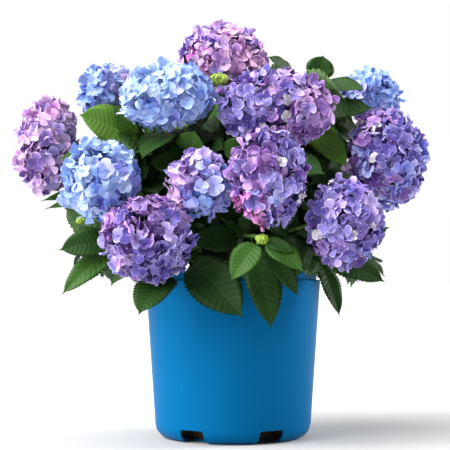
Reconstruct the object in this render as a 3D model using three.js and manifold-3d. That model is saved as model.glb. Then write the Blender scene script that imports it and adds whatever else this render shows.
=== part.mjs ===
// A potted bigleaf hydrangea: a moulded nursery pot full of potting mix, a woody root crown, canes
// that rise from it, and the flowering and leafy shoots that the canes carry.
// Millimetres, +Z up. The origin is the middle of the pot's flat underside, and -Y is the front.
import * as THREE from "three";
import { ConvexGeometry } from "three/addons/geometries/ConvexGeometry.js";
import { mergeVertices } from "three/addons/utils/BufferGeometryUtils.js";
import Module from "manifold-3d";

const wasm = await Module();
wasm.setup();

// ---------------------------------------------------------------- driving dimensions

const GAP = 0.3; // clearance where one piece stands on or in another

const POT = {
  height: 229,
  shoulderHeight: 217,
  shoulderRadius: 122,
  rimRadius: 117,
  bodyFootRadius: 108.5, // where the straight wall ends and the foot curve begins
  footCurveHeight: 20,
  undersideRadius: 91,
  wall: 2.4,
  edgeRound: 2,
  facets: 36,
};

const NOTCHES = { count: 6, firstHeading: -61.5, width: 36, height: 18, depth: 14 };

const MIX = { rimDrop: 25, mound: 4 }; // potting mix below the rim, and how far it domes up

const CROWN = { radius: 22, flareRadius: 34, flareHeight: 8, footDrop: 10, facets: 14 };

const CANE = { footRadius: 4.6, tipRadius: 3.4, knobLength: 3, sides: 6, steps: 5 };

// splay: how much wider apart the shoots of one cane start than their heads alone call for
const STEM = { footRadius: 2.6, tipRadius: 1.9, sides: 5, steps: 4, splay: 0.9 };

const HEART = new THREE.Vector3(0, 0, 310); // the point that the flower heads face away from

const HEAD = {
  floretSpacing: 27.5,
  dip: 9, // how far the surface falls in between two florets
  ragged: 4, // how unevenly the florets stand
  flattened: 0.3, // how much of the depth the side round the stalk has lost
  greenShape: [1.35, 1.2, 0.85], // half sizes of a head that has not opened, against its radius
};

const LEAF = {
  petiole: 0.16, // share of the length
  widest: 0.44,
  shoulder: 0.74,
  shoulderShare: 0.7, // width there, against the widest
  stalkRadius: 1.5,
  thickness: 1.6,
  fold: 0.16, // how far the margins lift, against the half width
  arch: 0.12, // how far the midrib bows up, against the length
};

// Where the leaf pairs leave a stem, how they stand and how large they grow. A leaf that lacks
// the room for its full size stays smaller, by the given shares.
const LEAF_PAIRS = {
  belowHead: 6,
  spacing: 30,
  lowest: 0.1, // share of the stem below which it is bare
  length: [90, 128],
  widthShare: 0.64,
  outward: 0.9,
  forward: 0.36,
  droop: [0.1, 0.6],
  stunted: [1, 0.72],
};

// Room that a leaf placed by rule has to keep: clear of every flower head and of the pot.
const ROOM = { headShare: 1.03, potSide: 8, potTop: 8 };
// The crown's space, which holds every leaf that is placed by rule: a leaf's y stays behind frontmost.
const CROWN_SPACE = { lowest: 206, highest: 585, widest: 235, frontmost: -140 };

// Canes, by where their tips are: heading in degrees from +X, reach from the pot's axis, height.
const CANES = {
  front_left: [232, 72, 272],
  left: [178, 88, 300],
  front: [268, 66, 284],
  front_right: [322, 80, 280],
  upper_left: [215, 44, 335],
  upper_right: [335, 46, 335],
  top: [110, 22, 372],
  right: [8, 86, 312],
  back_left: [135, 78, 290],
  back: [88, 70, 300],
  back_right: [42, 78, 288],
};

// Flower heads: the cane, the head's centre, then its half sizes along X, Y and Z.
const FLOWERING = {
  top_pink: ["top", [118, 34, 535], [62, 57, 50]],
  upper_blue: ["upper_left", [226, 125, 460], [63, 50, 48]],
  left_back_blue: ["upper_left", [158, 194, 489], [48, 50, 43]],
  far_left_mauve: ["left", [182, 258, 403], [45, 53, 69]],
  left_blue: ["front_left", [217, 214, 346], [53, 48, 53]],
  lower_left_purple: ["front_left", [238, 203, 269], [61, 48, 54]],
  centre_lavender: ["front", [254, 154, 340], [42, 41, 45]],
  centre_purple: ["front", [283, 186, 346], [51, 45, 62]],
  upper_right_mauve: ["upper_right", [306, 98, 446], [80, 54, 56]],
  right_violet: ["front_right", [352, 211, 384], [60, 59, 69]],
  lower_right_lilac: ["front_right", [313, 205, 291], [50, 49, 57]],
  far_right_blue: ["right", [17, 209, 485], [46, 51, 38]],
  back_upper_right: ["back", [62, 160, 450], [62, 56, 54]],
  back_upper_left: ["back", [114, 160, 446], [62, 56, 54]],
  back_far_right: ["back_right", [34, 216, 344], [56, 54, 52]],
  back_low_right: ["back_right", [70, 220, 330], [58, 50, 54]],
  back_low_left: ["back_left", [110, 220, 328], [58, 50, 52]],
  back_far_left: ["back_left", [150, 226, 346], [56, 54, 54]],
};

// Leafy shoots: the cane, the growing tip, the radius of the green head on it, and its show
// leaves. A show leaf is where it leaves the stem as a share of it, the place of its tip, its
// half width, and which way its upper side looks, as heading and rise in degrees.
const LEAFY = {
  left_high: [
    "left",
    [198, 138, 408],
    0,
    [
      [1, [204, 226, 438], 30, [262, 26]],
      [0.96, [206, 181, 454], 14, [262, 20]],
      [0.97, [201, 252, 377], 12, [262, 40]],
      [0.8, [232, 118, 352], 24, [250, 20]],
      [0.5, [181, 272, 327], 11, [250, 10]],
      [0.45, [183, 265, 315], 10, [250, 10]],
    ],
  ],
  left_low: [
    "front_left",
    [208, 172, 268],
    0,
    [
      [0.97, [206, 255, 256], 23, [262, 24]],
      [0.9, [208, 255, 197], 18, [262, 24]],
    ],
  ],
  left_under: ["front_left", [239, 150, 229], 0, [[1, [238, 225, 173], 27, [250, 38]]]],
  left_bud: ["left", [202, 220, 296], 6, []],
  front_bud: [
    "front",
    [281, 188, 268],
    8,
    [
      [0.96, [269, 202, 216], 19, [262, 24]],
      [0.93, [293, 220, 227], 18, [285, 30]],
      [0.97, [291, 209, 251], 10, [285, 20]],
      [0.84, [295, 193, 196], 14, [282, 10]],
      [0.45, [286, 172, 154], 24, [280, 16]],
      [0.25, [248, 140, 262], 24, [265, 24]],
    ],
  ],
  front_low: [
    "front",
    [242, 141, 250],
    0,
    [[0.95, [274, 166, 169], 33, [262, 22]]],
  ],
  right_low: [
    "front_right",
    [330, 132, 250],
    0,
    [
      [0.96, [327, 168, 168], 14, [292, 14]],
      [1, [335, 222, 214], 23, [284, 30]],
      [0.8, [354, 219, 290], 22, [290, 20]],
    ],
  ],
  right_high: [
    "right",
    [350, 118, 492],
    0,
    [
      [1, [351, 128, 531], 20, [278, 20]],
      [0.98, [342, 190, 476], 17, [278, 40]],
      [0.72, [345, 199, 453], 18, [278, 24]],
      [0.7, [339, 166, 369], 24, [285, 20]],
      [0.6, [323, 149, 332], 18, [290, 10]],
    ],
  ],
  top_right: ["top", [5, 92, 500], 0, [[1, [340, 52, 530], 14, [278, 40]]]],
  top_bud: ["top", [256, 80, 488], 10.5, []],
  heart_left: [
    "upper_left",
    [238, 108, 376],
    0,
    [
      [1, [248, 136, 412], 23, [262, 20]],
      [0.8, [222, 150, 372], 22, [262, 24]],
    ],
  ],
  heart_right: ["upper_right", [281, 108, 384], 0, [[0.9, [262, 108, 398], 18, [265, 20]]]],
  heart_far_right: [
    "right",
    [340, 118, 352],
    0,
    [
      [1, [345, 122, 404], 16, [285, 10]],
      [0.8, [328, 150, 318], 22, [290, 10]],
    ],
  ],
  heart_far_left: [
    "upper_left",
    [196, 118, 350],
    0,
    [
      [1, [210, 150, 330], 24, [255, 15]],
      [0.9, [190, 176, 372], 24, [250, 20]],
    ],
  ],
  left_skirt: [
    "left",
    [178, 152, 268],
    0,
    [
      [1, [178, 226, 214], 27, [178, 36]],
      [0.9, [160, 188, 214], 25, [160, 36]],
    ],
  ],
  right_skirt: [
    "right",
    [4, 156, 266],
    0,
    [
      [1, [4, 216, 222], 27, [4, 36]],
      [0.86, [22, 182, 210], 25, [22, 36]],
    ],
  ],
  back_skirt_right: [
    "back_right",
    [50, 160, 258],
    0,
    [
      [1, [48, 226, 206], 27, [48, 40]],
      [0.9, [20, 196, 214], 25, [20, 40]],
      [0.9, [78, 186, 200], 25, [78, 40]],
    ],
  ],
  back_skirt: [
    "back",
    [92, 150, 262],
    8,
    [
      [1, [95, 214, 204], 27, [95, 40]],
      [0.9, [110, 180, 176], 25, [110, 40]],
      [0.9, [66, 178, 172], 24, [66, 40]],
    ],
  ],
  back_skirt_left: [
    "back_left",
    [138, 160, 258],
    0,
    [
      [1, [143, 232, 208], 27, [143, 40]],
      [0.9, [122, 190, 190], 25, [122, 40]],
    ],
  ],
  heart_back: ["top", [90, 100, 410], 0, []],
  heart_back_right: ["right", [42, 130, 396], 0, []],
  heart_back_left: ["back_left", [158, 110, 400], 0, []],
};

// ---------------------------------------------------------------- small tools

const UP = new THREE.Vector3(0, 0, 1);

/** The point at a heading in degrees, a reach from the pot's axis and a height. */
function place([heading, reach, height]) {
  const angle = THREE.MathUtils.degToRad(heading);
  return new THREE.Vector3(reach * Math.cos(angle), reach * Math.sin(angle), height);
}

/** A repeatable source of numbers from 0 to 1. */
function chances(seed) {
  let state = seed >>> 0;
  return () => {
    state = (state + 0x6d2b79f5) >>> 0;
    let mixed = state;
    mixed = Math.imul(mixed ^ (mixed >>> 15), mixed | 1);
    mixed ^= mixed + Math.imul(mixed ^ (mixed >>> 7), mixed | 61);
    return ((mixed ^ (mixed >>> 14)) >>> 0) / 4294967296;
  };
}

/** A short text that is the same for the same point. */
const key = (point) => point.toArray().map((part) => part.toFixed(3)).join();

/** A point part of the way from a to b. */
const between = (a, b, share) => a.clone().lerp(b, share);

/** A three.js geometry as a solid that can be joined and cut. */
function solidOf(geometry) {
  const bare = new THREE.BufferGeometry();
  bare.setAttribute("position", geometry.getAttribute("position"));
  if (geometry.index) bare.setIndex(geometry.index);
  const merged = mergeVertices(bare, 1e-3);
  return new wasm.Manifold(
    new wasm.Mesh({
      numProp: 3,
      vertProperties: new Float32Array(merged.attributes.position.array),
      triVerts: new Uint32Array(merged.index.array),
    }),
  );
}

/** The largest outer skin of a solid, so that sealed hollows are filled and scraps dropped. */
function outerBody(solid) {
  const bodies = solid.decompose();
  return bodies.reduce((best, body) => (body.volume() > best.volume() ? body : best));
}

/** A solid as a three.js geometry. */
function geometryOf(solid) {
  const { numProp, vertProperties, triVerts } = solid.getMesh();
  const positions = new Float32Array((vertProperties.length / numProp) * 3);
  for (let i = 0; i < positions.length / 3; i++) {
    positions.set(vertProperties.subarray(i * numProp, i * numProp + 3), i * 3);
  }
  const geometry = new THREE.BufferGeometry();
  geometry.setAttribute("position", new THREE.BufferAttribute(positions, 3));
  geometry.setIndex(new THREE.BufferAttribute(new Uint32Array(triVerts), 1));
  geometry.computeVertexNormals();
  return geometry;
}

/** A closed skin over rings of points; an end ring of one point is a sharp end. */
function skin(rings) {
  const points = rings.flat();
  const starts = rings.map((_, i) => rings.slice(0, i).reduce((sum, ring) => sum + ring.length, 0));
  const faces = [];
  for (let i = 0; i + 1 < rings.length; i++) {
    const [a, b] = [starts[i], starts[i + 1]];
    const [na, nb] = [rings[i].length, rings[i + 1].length];
    for (let j = 0; j < Math.max(na, nb); j++) {
      const next = (j + 1) % Math.max(na, nb);
      if (na === 1) faces.push(a, b + next, b + j);
      else if (nb === 1) faces.push(a + j, a + next, b);
      else faces.push(a + j, a + next, b + next, a + j, b + next, b + j);
    }
  }
  const last = starts[rings.length - 1];
  for (let j = 1; j + 1 < rings[0].length; j++) faces.push(0, j + 1, j);
  for (let j = 1; j + 1 < rings[rings.length - 1].length; j++) faces.push(last, last + j, last + j + 1);
  const geometry = new THREE.BufferGeometry().setFromPoints(points);
  geometry.setIndex(faces);
  return geometry;
}

// ---------------------------------------------------------------- pot, mix and root crown

/** The outer wall's profile from the foot curve up to the shoulder, drawn inwards by an offset. */
function wallProfile(inset) {
  const curve = POT.bodyFootRadius - POT.undersideRadius;
  const points = [];
  for (const angle of [0, 30, 60, 90]) {
    const turned = THREE.MathUtils.degToRad(angle);
    points.push(
      new THREE.Vector2(
        POT.undersideRadius - inset + curve * Math.sin(turned),
        inset + (POT.footCurveHeight - inset) * (1 - Math.cos(turned)),
      ),
    );
  }
  return points;
}

/** The pot: a floor and tapered wall, a rounded shoulder, an inset rim and notches in the foot. */
function potSolid() {
  const { shoulderRadius, shoulderHeight, rimRadius, height, wall, edgeRound } = POT;
  const outer = [
    new THREE.Vector2(0, 0),
    ...wallProfile(0),
    new THREE.Vector2(shoulderRadius, shoulderHeight - edgeRound),
    new THREE.Vector2(shoulderRadius - edgeRound, shoulderHeight),
    new THREE.Vector2(rimRadius, shoulderHeight),
    new THREE.Vector2(rimRadius, height - edgeRound / 2),
    new THREE.Vector2(rimRadius - edgeRound / 2, height),
  ];
  const inner = [
    new THREE.Vector2(rimRadius - wall, height),
    new THREE.Vector2(rimRadius - wall, shoulderHeight - wall),
    ...wallProfile(wall).reverse(),
    new THREE.Vector2(0, wall),
  ];
  const shell = new THREE.LatheGeometry([...outer, ...inner], POT.facets);
  shell.rotateX(Math.PI / 2);
  let pot = solidOf(shell);
  for (let i = 0; i < NOTCHES.count; i++) {
    const heading = THREE.MathUtils.degToRad(NOTCHES.firstHeading + (360 * i) / NOTCHES.count);
    const reach = POT.undersideRadius + NOTCHES.depth;
    const notch = new THREE.BoxGeometry(NOTCHES.depth * 4, NOTCHES.width, NOTCHES.height * 2);
    notch.translate(reach, 0, 0);
    notch.rotateZ(heading);
    pot = pot.subtract(solidOf(notch));
  }
  return outerBody(pot);
}

const MIX_TOP = POT.height - MIX.rimDrop;

/** The potting mix, which fills the pot to a low mound. */
function mixSolid() {
  const inset = POT.wall + GAP;
  const shoulder = POT.shoulderHeight - POT.wall;
  const rise = (MIX_TOP - MIX.mound - POT.footCurveHeight) / (shoulder - POT.footCurveHeight);
  const edge = THREE.MathUtils.lerp(POT.bodyFootRadius, POT.rimRadius, rise) - inset;
  const profile = [
    new THREE.Vector2(0, inset),
    ...wallProfile(inset),
    new THREE.Vector2(edge, MIX_TOP - MIX.mound),
    new THREE.Vector2(edge * 0.72, MIX_TOP),
    new THREE.Vector2(0, MIX_TOP),
  ];
  const plug = new THREE.LatheGeometry(profile, POT.facets);
  plug.rotateX(Math.PI / 2);
  return solidOf(plug);
}

const CROWN_CENTRE = new THREE.Vector3(0, 0, MIX_TOP + GAP + CROWN.footDrop);

/** The root crown: a woody knuckle that flares to a flat cut on the mix. */
function crownSolid() {
  const foot = MIX_TOP + GAP;
  const profile = [
    new THREE.Vector2(0, foot),
    new THREE.Vector2(CROWN.flareRadius, foot),
    new THREE.Vector2(CROWN.flareRadius - 3, foot + CROWN.flareHeight / 3),
  ];
  for (const rise of [10, 32, 54, 74]) {
    const angle = THREE.MathUtils.degToRad(rise);
    profile.push(
      new THREE.Vector2(
        CROWN.radius * Math.cos(angle),
        CROWN_CENTRE.z + CROWN.radius * Math.sin(angle),
      ),
    );
  }
  profile.push(new THREE.Vector2(0, CROWN_CENTRE.z + CROWN.radius));
  const knuckle = new THREE.LatheGeometry(profile, CROWN.facets);
  knuckle.rotateX(Math.PI / 2);
  return solidOf(knuckle);
}

// ---------------------------------------------------------------- canes and stems

/** A tapering limb along a curve, flat at its foot and drawn to a blunt point at its tip. */
function limbSolid(curve, footRadius, tipRadius, knobLength, sides, steps) {
  const frames = curve.computeFrenetFrames(steps, false);
  const rings = [];
  for (let i = 0; i <= steps; i++) {
    const centre = curve.getPointAt(i / steps);
    const radius = THREE.MathUtils.lerp(footRadius, tipRadius, i / steps);
    const ring = [];
    for (let j = 0; j < sides; j++) {
      const angle = (2 * Math.PI * j) / sides;
      ring.push(
        centre
          .clone()
          .addScaledVector(frames.normals[i], radius * Math.cos(angle))
          .addScaledVector(frames.binormals[i], radius * Math.sin(angle)),
      );
    }
    rings.push(ring);
  }
  const tip = curve.getPointAt(1).addScaledVector(frames.tangents[steps], knobLength);
  rings.push([tip]);
  return solidOf(skin(rings));
}

/** A cane's line: out of the root crown, steeply at first, then over to its tip. */
function caneCurve(tipPlace) {
  const tip = place(tipPlace);
  const towards = tip.clone().sub(CROWN_CENTRE).normalize();
  const foot = CROWN_CENTRE.clone().addScaledVector(towards, CROWN.radius + GAP);
  const bend = between(foot, tip, 0.5).addScaledVector(UP, 0.08 * foot.distanceTo(tip));
  return new THREE.QuadraticBezierCurve3(foot, bend, tip);
}

/** The ends of all the shoots that one cane carries. */
function endsOn(cane) {
  const flowering = Object.values(FLOWERING).filter((row) => row[0] === cane);
  const leafy = Object.values(LEAFY).filter((row) => row[0] === cane);
  return [...flowering, ...leafy].map((row) => place(row[1]));
}

/** A shoot's line: out of its cane's tip, splayed from its neighbours, then along its own axis. */
function stemCurve(cane, caneTip, end, axis) {
  const ways = endsOn(cane).map((other) => other.sub(caneTip).normalize());
  const mean = ways.reduce((sum, way) => sum.add(way), new THREE.Vector3()).divideScalar(ways.length);
  const length = end.distanceTo(caneTip);
  const away = end.clone().sub(caneTip).normalize();
  away.multiplyScalar(1 + STEM.splay).addScaledVector(mean, -STEM.splay).normalize();
  const foot = caneTip.clone().addScaledVector(away, CANE.tipRadius + CANE.knobLength + GAP);
  return new THREE.CubicBezierCurve3(
    foot,
    foot.clone().addScaledVector(away, 0.35 * length),
    end.clone().addScaledVector(axis, -0.35 * length),
    end,
  );
}

// ---------------------------------------------------------------- flower heads

/** A head's centre and half sizes, and the way it faces. */
function headFrame([, centrePlace, half]) {
  const centre = place(centrePlace);
  return { centre, half: new THREE.Vector3(...half), outward: centre.clone().sub(HEART).normalize() };
}

/** Points spaced evenly over the unit sphere, along a spiral from pole to pole. */
function spiralPoints(count, turn) {
  const golden = Math.PI * (3 - Math.sqrt(5));
  return Array.from({ length: count }, (_, i) => {
    const rise = 1 - (2 * i + 1) / count;
    const spread = Math.sqrt(1 - rise * rise);
    const angle = i * golden + turn;
    return new THREE.Vector3(spread * Math.cos(angle), spread * Math.sin(angle), rise);
  });
}

/** The place of a direction from a head's centre, a given depth under the head's surface. */
function headPoint(head, direction, depth) {
  const inward = Math.max(0, -direction.dot(head.outward));
  const share = 1 - HEAD.flattened * inward * inward;
  const half = head.half.clone().subScalar(depth).multiplyScalar(share);
  return direction.clone().multiply(half).add(head.centre);
}

/** A mophead: every floret is a peak, and between each three of them the surface dips. */
function headSolid(head, chance) {
  const mean = (head.half.x + head.half.y + head.half.z) / 3;
  const count = Math.round((4 * Math.PI * mean * mean) / HEAD.floretSpacing ** 2);
  const florets = spiralPoints(count, chance() * 2 * Math.PI);
  const depths = new Map(florets.map((floret) => [key(floret), HEAD.ragged * (chance() - 0.5)]));
  const ball = new ConvexGeometry(florets).getAttribute("position");
  const corners = [];
  for (let i = 0; i < ball.count; i += 3) {
    const face = [0, 1, 2].map((j) => new THREE.Vector3().fromBufferAttribute(ball, i + j));
    const dip = face[0].clone().add(face[1]).add(face[2]).normalize();
    const low = headPoint(head, dip, HEAD.dip);
    const peaks = face.map((floret) => headPoint(head, floret, depths.get(key(floret))));
    for (let j = 0; j < 3; j++) corners.push(peaks[j], peaks[(j + 1) % 3], low);
  }
  return solidOf(new THREE.BufferGeometry().setFromPoints(corners));
}

/** A green head that has not opened: a small, flattened, knobbly ball. */
function greenHeadSolid(centre, radius) {
  const ball = new THREE.DodecahedronGeometry(radius);
  ball.scale(...HEAD.greenShape);
  ball.translate(centre.x, centre.y, centre.z);
  return solidOf(ball);
}

// ---------------------------------------------------------------- leaves

/** A direction from its heading and its rise, both in degrees. */
function direction([heading, rise]) {
  const up = THREE.MathUtils.degToRad(rise);
  return place([heading, Math.cos(up), Math.sin(up)]);
}

/** A leaf: its arched midrib, its half width, which way its upper side looks, and if it's shown. */
function leafOf(foot, tip, halfWidth, facing, show = false) {
  const top = between(foot, tip, 0.5).addScaledVector(facing, LEAF.arch * foot.distanceTo(tip));
  return { line: new THREE.QuadraticBezierCurve3(foot, top, tip), halfWidth, facing, show };
}

/** The ring of a blade at one place of its midrib: two margins, and the blade's two sides. */
function bladeRing({ line, facing }, share, half, thick) {
  const centre = line.getPoint(share);
  const tangent = line.getTangent(share);
  const side = new THREE.Vector3().crossVectors(facing, tangent).normalize();
  const upper = new THREE.Vector3().crossVectors(tangent, side);
  const margin = upper.clone().multiplyScalar(LEAF.fold * half);
  return [
    centre.clone().addScaledVector(side, half).add(margin),
    centre.clone().addScaledVector(upper, thick / 2),
    centre.clone().addScaledVector(side, -half).add(margin),
    centre.clone().addScaledVector(upper, -thick / 2),
  ];
}

/** A leaf as a solid: a stalk from inside the stem, a folded blade and a drawn-out tip. */
function leafSolid(leaf) {
  const { petiole, widest, shoulder, shoulderShare, stalkRadius, thickness } = LEAF;
  const rings = [
    [leaf.line.getPoint(0)],
    bladeRing(leaf, petiole, stalkRadius, 2 * stalkRadius),
    bladeRing(leaf, widest, leaf.halfWidth, thickness),
  ];
  if (leaf.show) rings.push(bladeRing(leaf, shoulder, leaf.halfWidth * shoulderShare, thickness));
  return solidOf(skin([...rings, [leaf.line.getPoint(1)]]));
}

/** The leaf pairs of a stem, each pair a quarter turn round from the last. */
function leafPairs(curve, headDepth, chance) {
  const { belowHead, spacing, lowest, length, widthShare, outward, forward, droop } = LEAF_PAIRS;
  const whole = curve.getLength();
  const phase = chance() * Math.PI;
  const leaves = [];
  const top = whole - headDepth - belowHead;
  for (let pair = 0; top - pair * spacing > lowest * whole; pair++) {
    const share = (top - pair * spacing) / whole;
    const foot = curve.getPointAt(share);
    const tangent = curve.getTangentAt(share);
    const level = new THREE.Vector3().crossVectors(tangent, UP).normalize();
    for (const side of [0, Math.PI]) {
      const turn = phase + (pair * Math.PI) / 2 + side + 0.5 * (chance() - 0.5);
      const size = THREE.MathUtils.lerp(...length, chance());
      const away = level.clone().applyAxisAngle(tangent, turn);
      const reach = away.multiplyScalar(outward).addScaledVector(tangent, forward).normalize();
      reach.addScaledVector(UP, -THREE.MathUtils.lerp(...droop, chance())).normalize();
      const open = new THREE.Vector3(foot.x, foot.y, 0).normalize().addScaledVector(UP, 0.9);
      const sizes = LEAF_PAIRS.stunted.map((stunted) => stunted * size);
      leaves.push(
        sizes.map((grown) =>
          leafOf(foot, foot.clone().addScaledVector(reach, grown), (grown * widthShare) / 2, open),
        ),
      );
    }
  }
  return leaves;
}

/** The points that stand for a leaf when its room is tested: its midrib and its margins. */
function leafPoints(leaf) {
  const margins = bladeRing(leaf, LEAF.widest, leaf.halfWidth, LEAF.thickness);
  const middle = [0.45, 0.65, 0.85, 1].map((share) => leaf.line.getPoint(share));
  return [...middle, margins[0], margins[2]];
}

/** True if a point is inside a head, drawn larger by the room that leaves keep. */
function insideHead(point, head) {
  return point.clone().sub(head.centre).divide(head.half).length() < ROOM.headShare;
}

/** True if a leaf that is placed by rule keeps to the crown's space, clear of heads and pot. */
function hasRoom(leaf, heads) {
  const { lowest, highest, widest, frontmost } = CROWN_SPACE;
  return leafPoints(leaf).every((point) => {
    const reach = Math.hypot(point.x, point.y);
    const inPot = point.z < POT.height + ROOM.potTop && reach < POT.shoulderRadius + ROOM.potSide;
    const inHeight = point.z > lowest && point.z < highest;
    const inPlan = reach < widest && point.y > frontmost;
    return !inPot && inHeight && inPlan && !heads.some((head) => insideHead(point, head));
  });
}

// ---------------------------------------------------------------- the whole plant

const PAINT = {
  pot: { color: 0x0b7cc4, roughness: 0.38, metalness: 0 },
  mix: { color: 0x2b2019, roughness: 1, metalness: 0 },
  bark: { color: 0x6d5338, roughness: 0.9, metalness: 0 },
  foliage: { color: 0x3f6f2c, roughness: 0.55, metalness: 0 },
  blue: { color: 0x86a4e8, roughness: 0.6, metalness: 0 },
  lilac: { color: 0x9a7fd6, roughness: 0.6, metalness: 0 },
  pink: { color: 0xc487cc, roughness: 0.6, metalness: 0 },
};

/** The petal colour that a shoot's name calls for. */
function shootPaint(name) {
  if (name.endsWith("blue")) return PAINT.blue;
  return name.endsWith("pink") || name.endsWith("mauve") ? PAINT.pink : PAINT.lilac;
}

/** A named mesh of one solid. */
function meshOf(name, solid, paint) {
  const mesh = new THREE.Mesh(geometryOf(solid), new THREE.MeshStandardMaterial(paint));
  mesh.name = name;
  return mesh;
}

/** A flowering shoot: its stem and head joined, and the leaves that it could carry. */
function floweringShoot(name, row, caneTip, chance) {
  const head = headFrame(row);
  const curve = stemCurve(row[0], caneTip, head.centre, head.outward);
  const stem = limbSolid(curve, STEM.footRadius, STEM.tipRadius, 1, STEM.sides, STEM.steps);
  const headDepth = Math.min(...head.half);
  return {
    name: `flowering_shoot_${name}`,
    paint: shootPaint(name),
    solid: stem.add(headSolid(head, chance)),
    head,
    leaves: leafPairs(curve, headDepth, chance),
  };
}

/** A leafy shoot: its stem with any green head joined, and the leaves that it could carry. */
function leafyShoot(name, [cane, tipPlace, greenRadius, rows], caneTip, chance) {
  const end = place(tipPlace);
  const curve = stemCurve(cane, caneTip, end, end.clone().sub(HEART).normalize());
  const stem = limbSolid(curve, STEM.footRadius, STEM.tipRadius, 6, STEM.sides, STEM.steps);
  const show = rows.map(([share, tip, half, looks]) => [
    leafOf(curve.getPointAt(share), place(tip), half, direction(looks), true),
  ]);
  return {
    name: `leafy_shoot_${name}`,
    paint: PAINT.foliage,
    solid: greenRadius ? stem.add(greenHeadSolid(end, greenRadius)) : stem,
    leaves: [...show, ...leafPairs(curve, greenRadius, chance)],
  };
}

/** Fuses on each leaf that has room and touches nothing but its own shoot, show leaves first. */
function addLeaves(shoots, fixed) {
  const heads = shoots.filter((shoot) => shoot.head).map((shoot) => shoot.head);
  const wanted = shoots.flatMap((shoot) => shoot.leaves.map((sizes) => ({ shoot, sizes })));
  wanted.sort((a, b) => Number(b.sizes[0].show) - Number(a.sizes[0].show));
  for (const { shoot, sizes } of wanted) {
    const others = shoots.filter((other) => other !== shoot).map((other) => other.solid);
    const around = [...fixed, ...others];
    const leaf = sizes.find(
      (grown) =>
        (grown.show || hasRoom(grown, heads)) &&
        around.every((other) => leafSolid(grown).minGap(other, GAP) >= GAP),
    );
    if (leaf) shoot.solid = outerBody(shoot.solid.add(leafSolid(leaf)));
  }
}

const caneCurves = Object.fromEntries(
  Object.entries(CANES).map(([name, tip]) => [name, caneCurve(tip)]),
);
const canes = Object.entries(caneCurves).map(([name, curve]) => {
  const { footRadius, tipRadius, knobLength, sides, steps } = CANE;
  const solid = limbSolid(curve, footRadius, tipRadius, knobLength, sides, steps);
  return { name: `cane_${name}`, solid };
});
const potAndRoots = [
  { name: "pot", solid: potSolid(), paint: PAINT.pot },
  { name: "potting_mix", solid: mixSolid(), paint: PAINT.mix },
  { name: "root_crown", solid: crownSolid(), paint: PAINT.bark },
];
const caneTip = (cane) => caneCurves[cane].getPointAt(1);
// leafy shoots first, so that their leaves are the first to find room
const shoots = [
  ...Object.entries(LEAFY).map(([name, row], i) => leafyShoot(name, row, caneTip(row[0]), chances(i))),
  ...Object.entries(FLOWERING).map(([name, row], i) =>
    floweringShoot(name, row, caneTip(row[0]), chances(101 + i)),
  ),
];
addLeaves(shoots, [...potAndRoots, ...canes].map((piece) => piece.solid));

const hydrangea = new THREE.Group();
for (const { name, solid, paint = PAINT.bark } of [...potAndRoots, ...canes, ...shoots]) {
  hydrangea.add(meshOf(name, solid, paint));
}

export default hydrangea;
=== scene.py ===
"""A potted bigleaf hydrangea in full flower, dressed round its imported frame.

Sizes are millimetres and headings are degrees from +X, in the frame's own axes: +Z is up, -Y is
the plant's front, and the origin is the middle of the pot's flat underside. Every piece is made at
its place in the frame, and is turned into metres as its mesh is written.
"""

from __future__ import annotations

import logging
import math
from dataclasses import dataclass, field
from enum import Enum
from functools import partial

import bpy
import numpy as np
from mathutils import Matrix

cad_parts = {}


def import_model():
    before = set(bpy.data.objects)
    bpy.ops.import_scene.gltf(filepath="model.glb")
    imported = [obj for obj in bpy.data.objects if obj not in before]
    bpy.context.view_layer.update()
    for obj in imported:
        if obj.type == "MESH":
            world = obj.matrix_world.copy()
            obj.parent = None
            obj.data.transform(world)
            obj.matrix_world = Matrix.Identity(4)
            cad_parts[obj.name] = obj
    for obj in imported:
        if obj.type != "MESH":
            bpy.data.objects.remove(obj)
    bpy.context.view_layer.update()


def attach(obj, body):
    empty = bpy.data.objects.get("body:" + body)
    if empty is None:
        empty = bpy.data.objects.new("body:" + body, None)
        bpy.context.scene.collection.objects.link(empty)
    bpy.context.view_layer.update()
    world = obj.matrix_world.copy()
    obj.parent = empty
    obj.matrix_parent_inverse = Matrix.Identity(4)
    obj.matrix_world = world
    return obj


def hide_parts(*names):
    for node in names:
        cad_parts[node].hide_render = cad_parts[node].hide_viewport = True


log = logging.getLogger("hydrangea")

MM = 0.001
WORD = 0xFFFFFFFF  # the largest number of 32 bits
STRIDE = 0x6D2B79F5  # from one state of a source of chances to the next
BODY = "root"
UP = np.array((0.0, 0.0, 1.0))
HEART = np.array((0.0, 0.0, 310.0))  # the point that the flower heads face away from
CURVE_STEPS = 200  # how finely a curve's length is measured
HUB = 2.0  # the least radius of a turned profile, which stays off the pot's axis
CYCLE = 6.3  # a whole turn in radians, near enough for a wave or a phase

Pair = tuple[float, float]
Place = tuple[float, float, float]
Shares = tuple[float, ...]
Shape = tuple[np.ndarray, np.ndarray]  # points, and the faces between them or their directions


# ---------------------------------------------------------------- small tools


def unit(vectors: np.ndarray) -> np.ndarray:
    """The same vectors, each of length one."""
    return vectors / np.linalg.norm(vectors, axis=-1, keepdims=True)


def place(heading: float, reach: float, height: float) -> np.ndarray:
    """The point at a heading, a reach from the pot's axis and a height."""
    angle = math.radians(heading)
    return np.array((reach * math.cos(angle), reach * math.sin(angle), height))


def looking(heading: float, rise: float) -> np.ndarray:
    """The direction with a heading and a rise, both in degrees."""
    up = math.radians(rise)
    return place(heading, math.cos(up), math.sin(up))


def turned(vector: np.ndarray, axis: np.ndarray, angle: float) -> np.ndarray:
    """A vector turned round an axis of length one by an angle in radians."""
    along = axis * np.dot(axis, vector) * (1 - math.cos(angle))
    return vector * math.cos(angle) + np.cross(axis, vector) * math.sin(angle) + along


def part_way(low: float, high: float, share: float) -> float:
    """The number a share of the way from low to high."""
    return low + (high - low) * share


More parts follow.
